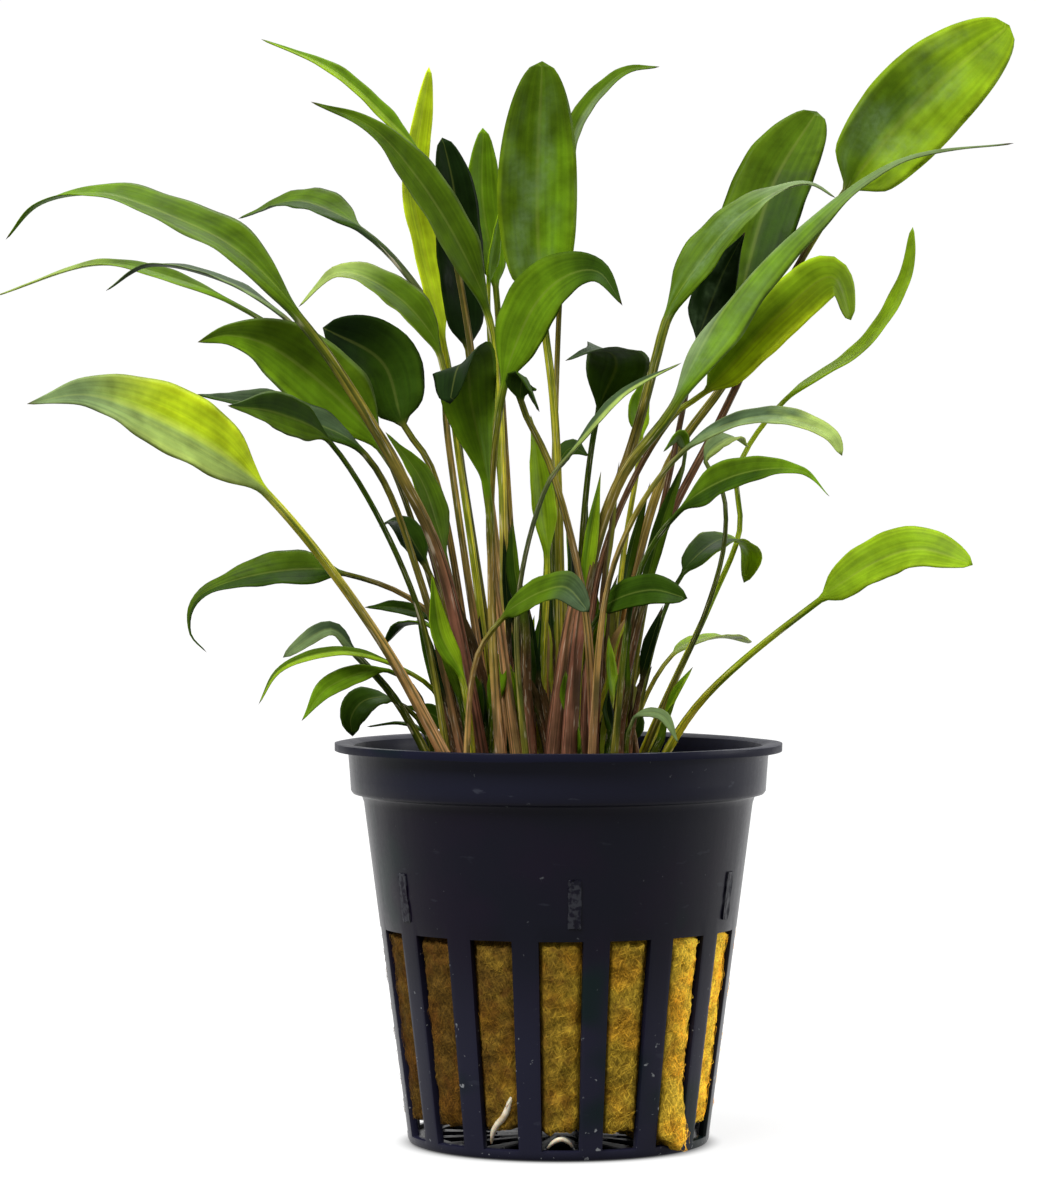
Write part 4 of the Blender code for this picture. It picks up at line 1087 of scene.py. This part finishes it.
class PLANT_OT_roots(Operator):
    """Adds the two white roots that show in the slots"""

    bl_idname = "plant.roots"
    bl_label = "Roots"

    def execute(self, context):
        material = root_material()
        for name, slot, shape in ROOTS:
            finish_piece(self.tube(name + "_flesh", slot, shape), material, "root", name)
        return {"FINISHED"}

    @staticmethod
    def in_slot(slot, across, height, depth):
        """A place in the slot, counted from its middle line and inwards from the wall."""
        middle = math.radians(slot_middle(slot))
        outward = Vector((math.cos(middle), math.sin(middle), 0))
        sideways = Vector((-math.sin(middle), math.cos(middle), 0))
        out = body_radius(height) - ROOT_INSET - depth
        return outward * out + sideways * across + Vector((0, 0, height))

    def tube(self, name, slot, shape):
        curve = empty_curve(name, MILLIMETRE, 3)
        curve.data.resolution_u = 8
        spline = add_line(curve, "NURBS", [self.in_slot(slot, *place) for *place, _ in shape])
        for point, (*_, radius) in zip(spline.points, shape):
            point.radius = radius
        spline.use_endpoint_u = True
        spline.order_u = 3
        bpy.ops.object.convert(target="MESH")
        root = bpy.context.object
        close_and_smooth(root)
        return root


def in_space(seen):
    """Moves a point along the line of sight from the plane of the pot's axis to its depth."""
    across, depth, height = seen
    spread = (EYE_DISTANCE + depth) / EYE_DISTANCE
    return Vector((
        EYE_ACROSS + (across - EYE_ACROSS) * spread,
        depth,
        EYE_HEIGHT + (height - EYE_HEIGHT) * spread,
    ))


def smooth_line(points, per_span):
    """A smooth line through all the points, with per_span points along each stretch."""
    times = [0.0]
    for before, after in zip(points, points[1:]):
        times.append(times[-1] + math.sqrt((after - before).length))
    slopes = [(after - before) / (end - start)
              for before, after, start, end in zip(points, points[1:], times, times[1:])]
    tangents = [slopes[0]]
    for index in range(1, len(points) - 1):
        left = times[index] - times[index - 1]
        right = times[index + 1] - times[index]
        tangents.append((slopes[index] * left + slopes[index - 1] * right) / (left + right))
    tangents.append(slopes[-1])
    line = []
    for index in range(len(points) - 1):
        span = times[index + 1] - times[index]
        for step in range(per_span):
            t = step / per_span
            line.append(
                points[index] * (2 * t**3 - 3 * t**2 + 1)
                + tangents[index] * (t**3 - 2 * t**2 + t) * span
                + points[index + 1] * (3 * t**2 - 2 * t**3)
                + tangents[index + 1] * (t**3 - t**2) * span
            )
    line.append(points[-1])
    return line


def length_of(line):
    return sum((after - before).length for before, after in zip(line, line[1:]))


def evenly(line, count):
    """Points spaced evenly along the line, both ends included."""
    lengths = [0.0]
    for before, after in zip(line, line[1:]):
        lengths.append(lengths[-1] + (after - before).length)
    spaced = []
    index = 0
    for step in range(count):
        target = lengths[-1] * step / (count - 1)
        while index < len(line) - 2 and lengths[index + 1] < target:
            index += 1
        share = (target - lengths[index]) / (lengths[index + 1] - lengths[index])
        spaced.append(line[index].lerp(line[index + 1], share))
    return spaced


def eased(value):
    value = min(max(value, 0.0), 1.0)
    return value * value * (3 - 2 * value)


def turn_at(turn, along):
    """The blade's turn at a share of its length, from those at foot, middle and tip."""
    foot, middle, tip = turn
    if along < 0.5:
        return foot + (middle - foot) * along * 2
    return middle + (tip - middle) * (along * 2 - 1)


def outline_at(tip, along):
    """The blade's width at a share of its length, 1 at the widest place."""
    rise, fall, foot = OUTLINES[tip]
    widest = rise / (rise + fall)
    most = widest**rise * (1 - widest) ** fall
    return along**rise * (1 - along) ** fall / most * math.sqrt(eased(along / foot))


def upper_sides(places, neck, turn):
    """The direction that the upper side faces at each place, carried along without twisting."""
    tangents = [
        (places[min(i + 1, len(places) - 1)] - places[max(i - 1, 0)]).normalized()
        for i in range(len(places))
    ]
    to_eye = (Vector((EYE_ACROSS, -EYE_DISTANCE, EYE_HEIGHT)) - places[neck]).normalized()
    across = tangents[neck].cross(to_eye).normalized()
    facing = across.cross(tangents[neck])
    start = Quaternion(tangents[neck], math.radians(turn[0])) @ facing
    normals = [start] * len(places)
    for i in range(neck + 1, len(places)):
        normals[i] = tangents[i - 1].rotation_difference(tangents[i]) @ normals[i - 1]
    for i in range(neck - 1, -1, -1):
        normals[i] = tangents[i + 1].rotation_difference(tangents[i]) @ normals[i + 1]
    last = len(places) - 1
    for i in range(neck, len(places)):
        twist = turn_at(turn, (i - neck) / (last - neck)) - turn[0]
        normals[i] = Quaternion(tangents[i], math.radians(twist)) @ normals[i]
    return tangents, normals


class LeafShape:
    """Places and tones of every corner of one leaf's skin."""

    def __init__(self, leaf, settings, columns=ROUND_POINTS, blade_step=BLADE_STEP, fewest_rings=14):
        self.leaf = leaf
        self.settings = settings
        self.columns = columns
        self.phase = sum(map(ord, leaf.name)) % 17
        seen = [in_space(point) for point in leaf.stalk + leaf.blade]
        start = Vector((*leaf.base, WOOL_TOP))
        inside = start - (seen[0] - start).normalized() * DEPTH_IN_WOOL
        line = smooth_line([start] + seen, POINTS_PER_SPAN)
        split = (len(leaf.stalk) + 1) * POINTS_PER_SPAN
        stalk_line, blade_line = [inside] + line[: split + 1], line[split:]
        self.neck = max(6, round(length_of(stalk_line) / STALK_STEP))
        blade_rings = max(fewest_rings, round(length_of(blade_line) / blade_step))
        self.places = evenly(stalk_line, self.neck + 1)[:-1] + evenly(blade_line, blade_rings + 1)
        self.rows = len(self.places) - 1
        self.tangents, self.normals = upper_sides(self.places, self.neck, leaf.turn)

    def along(self, row):
        """Share of the blade's length from its foot, or of the stalk's from the foot down, below zero."""
        if row >= self.neck:
            return (row - self.neck) / (self.rows - self.neck)
        return row / self.neck - 1

    def round_the_section(self, column, flat):
        """(along the width from 1 to -1, out of the upper side) for a column of the skin."""
        share = column / self.columns
        across = math.cos(2 * math.pi * share)
        even = 1 - 4 * share if share <= 0.5 else 4 * share - 3
        across += (even - across) * 0.8 * flat
        out = math.sqrt(max(0.0, 1 - across * across))
        return across, out if share <= 0.5 else -out

    def place(self, row, column):
        leaf = self.leaf
        if row in (0, self.rows):
            return self.places[row]
        along = self.along(row)
        blade_share = max(0.0, along)
        flat = eased(blade_share / FLATTENING_SHARE)
        stalk = leaf.stalk_radius * (1 - STALK_TAPER * min(row / self.neck, 1)) * math.sqrt(1 - blade_share)
        stalk *= 1 + STALK_FOOT_SWELLING * eased(1 - 1.6 * row / self.neck)
        blade = leaf.width / 2 * outline_at(leaf.tip, blade_share)
        if leaf.tip == "pointed":
            blade *= 1 - POINTED_NARROWING * eased((blade_share - 0.55) / 0.38)
        half_width = math.hypot(stalk, blade)
        across, out = self.round_the_section(column, flat)
        thin = self.settings.thickness / MILLIMETRE / 2 * (1 - TIP_THINNING * blade_share)
        swelling = math.copysign(abs(out) ** (1 - 0.6 * flat), out)
        fold = math.radians(leaf.fold)
        rib = math.exp(-((across / RIB_WIDTH) ** 2)) * flat * (1 - blade_share)
        wave = math.sin(along * 19 + self.phase + (0 if across > 0 else 2.1))
        wave += 0.6 * math.sin(along * 41 + self.phase)
        lift = swelling * (stalk + (thin - stalk) * flat)
        lift += half_width * (math.hypot(across, FOLD_ROUNDING) - FOLD_ROUNDING) * math.sin(fold * flat)
        lift -= rib * (RIB_ABOVE if out >= 0 else RIB_BELOW) * leaf.stalk_radius
        lift += leaf.width * self.settings.wave * wave * abs(across) ** 3 * flat * (1 - blade_share**4)
        reach = across * half_width
        side = self.tangents[row].cross(self.normals[row])
        return self.places[row] + side * reach * math.cos(fold * flat) + self.normals[row] * lift

    def gloss(self, row, column):
        """How much painted grey sheen a corner has."""
        along = self.along(row)
        if not self.leaf.patchy or along < 0:
            return 0.0
        across, _ = self.round_the_section(column, eased(along / FLATTENING_SHARE))
        cloud = noise.noise(Vector((along * 5, across * 2.2, self.phase + 5)))
        inner = (1 - across**4) * (1 - 0.7 * eased(across))
        return eased(0.42 + 1.6 * cloud) * inner * (1 - along**3) * eased(along * 8)

    def tone(self, row, column, tones):
        right, left, under, low, high, outer, tip = tones
        along = self.along(row)
        flat = eased(max(0.0, along) / FLATTENING_SHARE)
        across, out = self.round_the_section(column, flat)
        drift = 0.0
        if self.leaf.patchy:
            drift = 0.9 * noise.noise(Vector((along * 9, across * 2.2, self.phase)))
        # The halves' tones carry painted light and shade, with a lighter tone on a half that faces the light,
        # and the grey tones are painted sheen
        blade = left.lerp(right, eased(across * 3 + 0.5 + drift)).lerp(under, eased(0.5 - out * 3))
        if outer is not None:
            blade = blade.lerp(outer, eased((along - 0.45) / 0.35 + drift * 0.5))
        if along < 0:
            uneven = 0.5 * noise.noise(Vector((along * 3, self.phase * 1.7, 0)))
            stalk = low.lerp(high, eased(along * 1.2 + 1.1 + uneven)) * (1 + uneven)
            return stalk.lerp(blade, 0.6 * eased(along * 5 + 1))
        colour = high.lerp(blade, eased(along * 9 + 0.5))
        if self.leaf.tip in ("pointed", "drawn out"):
            colour = colour.lerp(tip, eased((along - 0.965) / 0.03))
        return colour


def leaf_material():
    """One finish for every leaf: its tones come from the skin's own attributes."""
    name = "cryptocoryne leaf"
    if name in bpy.data.materials:
        return bpy.data.materials[name]
    nodes = Nodes(bpy.data.materials.new(name))
    shader = nodes.shader
    across = nodes.attribute("across")
    along = nodes.attribute("along")
    on_blade = nodes.ramp(along, 0.02, 0.14)
    from_rib = nodes.maths("ABSOLUTE", across)
    mottle = nodes.noise(330, 4)
    streaks = nodes.lengthwise(across, along, 7.0, 1.6, 2)
    light = nodes.maths("MULTIPLY_ADD", mottle, 1.3, nodes.maths("MULTIPLY_ADD", streaks, 0.9, -0.1))
    plain = nodes.times(nodes.attribute("tone", "Color"), nodes.grey(light))
    lighter = nodes.times(plain, (1.45, 1.3, 1.2))
    veins = nodes.ramp(nodes.maths("SINE", nodes.product(from_rib, 26.0)), 0.2, 1.0)
    painted_sheen_flecks = nodes.ramp(nodes.noise(1300, 5), 0.28, 0.74, 0.30, 0.75)
    blade = nodes.layers(
        plain,
        (nodes.product(veins, on_blade, 0.22), lighter),
        # Painted light: blades are lighter towards their edges, as light shows through the thin margins
        (nodes.product(nodes.ramp(from_rib, 0.55, 1.0), on_blade, 0.55), lighter),
        (nodes.product(nodes.ramp(from_rib, 0.075, 0.015), on_blade, 0.5),
         nodes.mix(0.35, lighter, (0.26, 0.30, 0.07))),
        # Painted sheen: grey patches where the gloss attribute is high
        (nodes.product(painted_sheen_flecks, nodes.attribute("gloss")), nodes.mix(0.6, lighter, (0.18, 0.28, 0.14))),
    )
    # Stalks are striped in a dull and a reddish tone, with pale painted highlights along them
    stripes = nodes.ramp(nodes.lengthwise(across, along, 3.2, 5.0, 2), 0.36, 0.64)
    painted_glints = nodes.ramp(nodes.lengthwise(across, along, 5.0, 14.0, 3), 0.56, 0.70)
    stalk = nodes.layers(
        nodes.times(blade, (0.28, 0.34, 0.30)),
        (stripes, nodes.times(blade, (1.85, 1.45, 1.5))),
        (nodes.product(painted_glints, 0.50), (0.80, 0.70, 0.52)),
    )
    colour = nodes.mix(nodes.product(nodes.ramp(along, 0.06, -0.05), 0.8), blade, stalk)
    nodes.put(colour, shader.inputs["Base Color"])
    nodes.put(nodes.maths("MULTIPLY_ADD", mottle, 0.35, 0.22), shader.inputs["Roughness"])
    shader.inputs["Specular IOR Level"].default_value = 0.04
    normal = nodes.bump(mottle, 0.3, 0.0005)
    through = nodes.add("ShaderNodeBsdfTranslucent")
    nodes.put(nodes.times(colour, (1.9, 1.7, 0.5)), through.inputs["Color"])
    nodes.put(normal, through.inputs["Normal"])
    both = nodes.add("ShaderNodeMixShader")
    both.inputs["Fac"].default_value = 0.3
    nodes.put(shader.outputs[0], both.inputs[1])
    nodes.put(through.outputs[0], both.inputs[2])
    nodes.put(both.outputs[0], nodes.tree.nodes["Material Output"].inputs["Surface"])
    return nodes.owner


def leaf_skin(shape):
    """The closed mesh of one leaf, with the attributes that its finish reads."""
    leaf, settings = shape.leaf, shape.settings
    right, left, under, stalk, *outer = leaf.tones.split()
    tone_names = (right, left, under, *STALKS[stalk], *(outer or [None]), "tip_brown")
    tones = [tone and Vector(getattr(settings, tone)) for tone in tone_names]
    corners = (shape.rows + 1) * (shape.columns + 1)
    tone_values = [0.0] * (corners * 4)
    values = {name: [0.0] * corners for name in ("across", "along", "gloss")}

    def place(row, column, index):
        along = shape.along(row)
        flat = eased(max(0.0, along) / FLATTENING_SHARE)
        values["across"][index] = shape.round_the_section(column, flat)[0]
        values["along"][index] = along
        values["gloss"][index] = shape.gloss(row, column)
        tone_values[index * 4: index * 4 + 4] = (*shape.tone(row, column, tones), 1.0)
        return shape.place(row, column) * MILLIMETRE

    skin = wrapped_sheet(leaf.name + "_skin", shape.rows, shape.columns, place)
    mesh = skin.data
    mesh.attributes.new("tone", "FLOAT_COLOR", "POINT").data.foreach_set("color", tone_values)
    for name, numbers in values.items():
        mesh.attributes.new(name, "FLOAT", "POINT").data.foreach_set("value", numbers)
    close_and_smooth(skin)
    return skin


def short_stems(count):
    """Stems, sheaths and young leaves at the foot of the plant, low and between the long stalks."""
    kinds = (
        "dark dark dark umber", "forest dark dark umber", "deep deep deep umber",
        "olive umber umber umber", "forest forest forest green", "middle forest middle green",
        "lime tan olive tan", "deep dark deep green", "olive forest olive pink",
        "bright middle bright lime", "umber dark umber umber",
    )
    rng = random.Random(7)
    for number in range(count):
        base = Vector((rng.uniform(-12, 10.5), rng.uniform(-8.5, 12), 0))
        base *= min(1.0, STEM_AREA_RADIUS / base.length)
        height, tilt = rng.uniform(9, 24), 0.3
        if number % 3 == 0:
            base.x *= 0.6
            height, tilt = rng.uniform(20, 42), 0.15
        lean = Vector((base.x * 0.016 * height + rng.uniform(-tilt, tilt) * height, base.y * 0.2, 0))
        places = []
        for share in (0.4, 0.62, 0.84, 1.0):
            sway = Vector((rng.uniform(-0.3, 0.3), rng.uniform(-0.3, 0.3), 0))
            up = Vector((0, 0, WOOL_TOP + height * share))
            places.append(tuple(base + lean * share**1.3 + sway + up))
        turn = rng.uniform(-60, 60)
        yield Leaf(
            f"short_stem_{number}", kinds[number % len(kinds)],
            base=tuple(base.xy), stalk=(places[0],), blade=tuple(places[1:]),
            width=rng.uniform(1.0, 2.8), turn=(turn, turn, turn + 15), fold=35,
            stalk_radius=rng.uniform(0.35, 0.95),
        )


class PLANT_OT_short_stems(Operator):
    """Adds the short stems, sheaths and young leaves that fill the foot of the plant"""

    bl_idname = "plant.short_stems"
    bl_label = "Short stems"

    def execute(self, context):
        settings = context.scene.plant_leaves
        stems = short_stems(settings.short_stem_count)
        skins = [leaf_skin(LeafShape(stem, settings, **STEM_SKIN)) for stem in stems]
        deselect_all()
        for skin in skins:
            skin.select_set(True)
        bpy.context.view_layer.objects.active = skins[0]
        bpy.ops.object.join()
        clump = bpy.context.object
        clump.name = clump.data.name = "short_stems"
        finish_piece(clump, leaf_material(), "leaf_dark")
        return {"FINISHED"}


class PLANT_OT_leaves(Operator):
    """Adds one group of leaves, each with its own stalk"""

    bl_idname = "plant.leaves"
    bl_label = "Leaves"

    group: EnumProperty(
        name="Group",
        description="Part of the plant that the leaves belong to",
        items=[(key, label, label) for key, label in (
            ("leaf_upper_left", "Upper left"),
            ("leaf_left", "Left"),
            ("leaf_lower_left", "Lower left"),
            ("leaf_centre", "Centre"),
            ("leaf_upper_right", "Upper right"),
            ("leaf_lower_right", "Lower right"),
        )],
    )

    def execute(self, context):
        settings = context.scene.plant_leaves
        material = leaf_material()
        slots = {part["node"]: part["material_slot"] for part in frame["record"]["subparts"]}
        for leaf in LEAVES:
            if leaf.name.rsplit("_", 1)[0] == self.group:
                skin = leaf_skin(LeafShape(leaf, settings))
                finish_piece(skin, material, slots[leaf.name], leaf.name)
        return {"FINISHED"}


class PLANT_OT_stage(Operator):
    """Adds the pale floor, the white surround, the studio lights and the camera"""

    bl_idname = "plant.stage"
    bl_label = "Stage"

    def execute(self, context):
        scene = context.scene
        settings = scene.plant_stage
        self.floor(settings)
        scene.world = self.surround(settings)
        self.light("key_light", (-0.28, -0.42, 0.68), 0.5, settings.key_power)
        self.light("back_light", (0.1, 0.38, 0.75), 0.6, settings.back_power)
        self.light("side_light", (0.75, 0.06, 0.2), 0.3, settings.side_power)
        scene.camera = self.camera()
        scene.view_settings.view_transform = "Standard"
        return {"FINISHED"}

    @staticmethod
    def floor(settings):
        deselect_all()
        bpy.ops.mesh.primitive_plane_add(size=FLOOR_SIZE, location=(0, 0, -FLOOR_DROP))
        floor = bpy.context.object
        floor.name = "studio_floor"
        paint = Nodes(bpy.data.materials.new("studio floor"))
        paint.shader.inputs["Base Color"].default_value = (*settings.floor, 1)
        paint.shader.inputs["Roughness"].default_value = 0.9
        paint.shader.inputs["Specular IOR Level"].default_value = 0.0
        paint.shader.inputs["Emission Color"].default_value = (1, 1, 1, 1)
        # The floor glows white to the camera and in the gloss; round the pot the glow is painted down to a
        # faint grey shadow, and under the pot it is painted out to dark shade
        away = paint.from_axis()
        glow = paint.product(
            paint.ramp(away, 0.02, 0.06, settings.painted_shadow_glow, settings.surround),
            paint.ramp(away, 0.0165, 0.0205),
            paint.in_view(),
        )
        paint.put(glow, paint.shader.inputs["Emission Strength"])
        floor.data.materials.append(paint.owner)

    @staticmethod
    def surround(settings):
        """White to the camera and in the gloss, and dimmer as a light."""
        white = Nodes(bpy.data.worlds.new("white surround"))
        white.shader.inputs["Color"].default_value = (1, 1, 1, 1)
        strength = white.ramp(white.in_view(), 0.0, 1.0, settings.fill, settings.surround)
        white.put(strength, white.shader.inputs["Strength"])
        return white.owner

    @staticmethod
    def camera():
        eye = Vector((EYE_ACROSS, -EYE_DISTANCE, EYE_HEIGHT)) * MILLIMETRE
        bpy.ops.object.camera_add(location=eye, rotation=(math.pi / 2, 0, 0))
        camera = bpy.context.object
        camera.name = "studio_camera"
        camera.data.sensor_fit = "VERTICAL"
        camera.data.angle = 2 * math.atan(VIEW_HEIGHT / 2 / EYE_DISTANCE)
        camera.data.shift_y = (VIEW_MIDDLE - EYE_HEIGHT) / VIEW_HEIGHT
        camera.data.clip_start = 0.01
        return camera

    @staticmethod
    def light(name, place, size, power):
        towards = Vector(LAMPS_AIM) - Vector(place)
        turn = towards.to_track_quat("-Z", "Y").to_euler()
        bpy.ops.object.light_add(type="AREA", location=place, rotation=turn)
        lamp = bpy.context.object
        lamp.name = name
        lamp.data.size = size
        lamp.data.energy = power


class PLANT_PT_sidebar(Panel):
    """Lists the steps that build the plant"""

    bl_idname = "PLANT_PT_sidebar"
    bl_label = "Potted cryptocoryne"
    bl_space_type = "VIEW_3D"
    bl_region_type = "UI"
    bl_category = "Plant"

    def draw(self, context):
        scene = context.scene
        sections = (
            ("plant.net_pot", scene.plant_pot),
            ("plant.rock_wool", scene.plant_wool),
            ("plant.roots", None),
            ("plant.leaves", scene.plant_leaves),
            ("plant.short_stems", None),
            ("plant.stage", scene.plant_stage),
        )
        for operator, settings in sections:
            box = self.layout.box()
            box.operator(operator)
            if settings is not None:
                for name in settings.__annotations__:
                    box.prop(settings, name)


CLASSES = (
    PotSettings,
    WoolSettings,
    LeafSettings,
    StageSettings,
    PLANT_OT_net_pot,
    PLANT_OT_rock_wool,
    PLANT_OT_roots,
    PLANT_OT_leaves,
    PLANT_OT_short_stems,
    PLANT_OT_stage,
    PLANT_PT_sidebar,
)


def register():
    for cls in CLASSES:
        bpy.utils.register_class(cls)
    bpy.types.Scene.plant_pot = PointerProperty(type=PotSettings)
    bpy.types.Scene.plant_wool = PointerProperty(type=WoolSettings)
    bpy.types.Scene.plant_leaves = PointerProperty(type=LeafSettings)
    bpy.types.Scene.plant_stage = PointerProperty(type=StageSettings)


def unregister():
    for name in ("plant_pot", "plant_wool", "plant_leaves", "plant_stage"):
        delattr(bpy.types.Scene, name)
    for cls in reversed(CLASSES):
        bpy.utils.unregister_class(cls)


def main():
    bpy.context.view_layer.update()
    register()
    bpy.ops.plant.net_pot()
    bpy.ops.plant.rock_wool()
    bpy.ops.plant.roots()
    for group in ("upper_left", "left", "lower_left", "centre", "upper_right", "lower_right"):
        bpy.ops.plant.leaves(group="leaf_" + group)
    bpy.ops.plant.short_stems()
    bpy.ops.plant.stage()


if __name__ == "__main__":
    main()
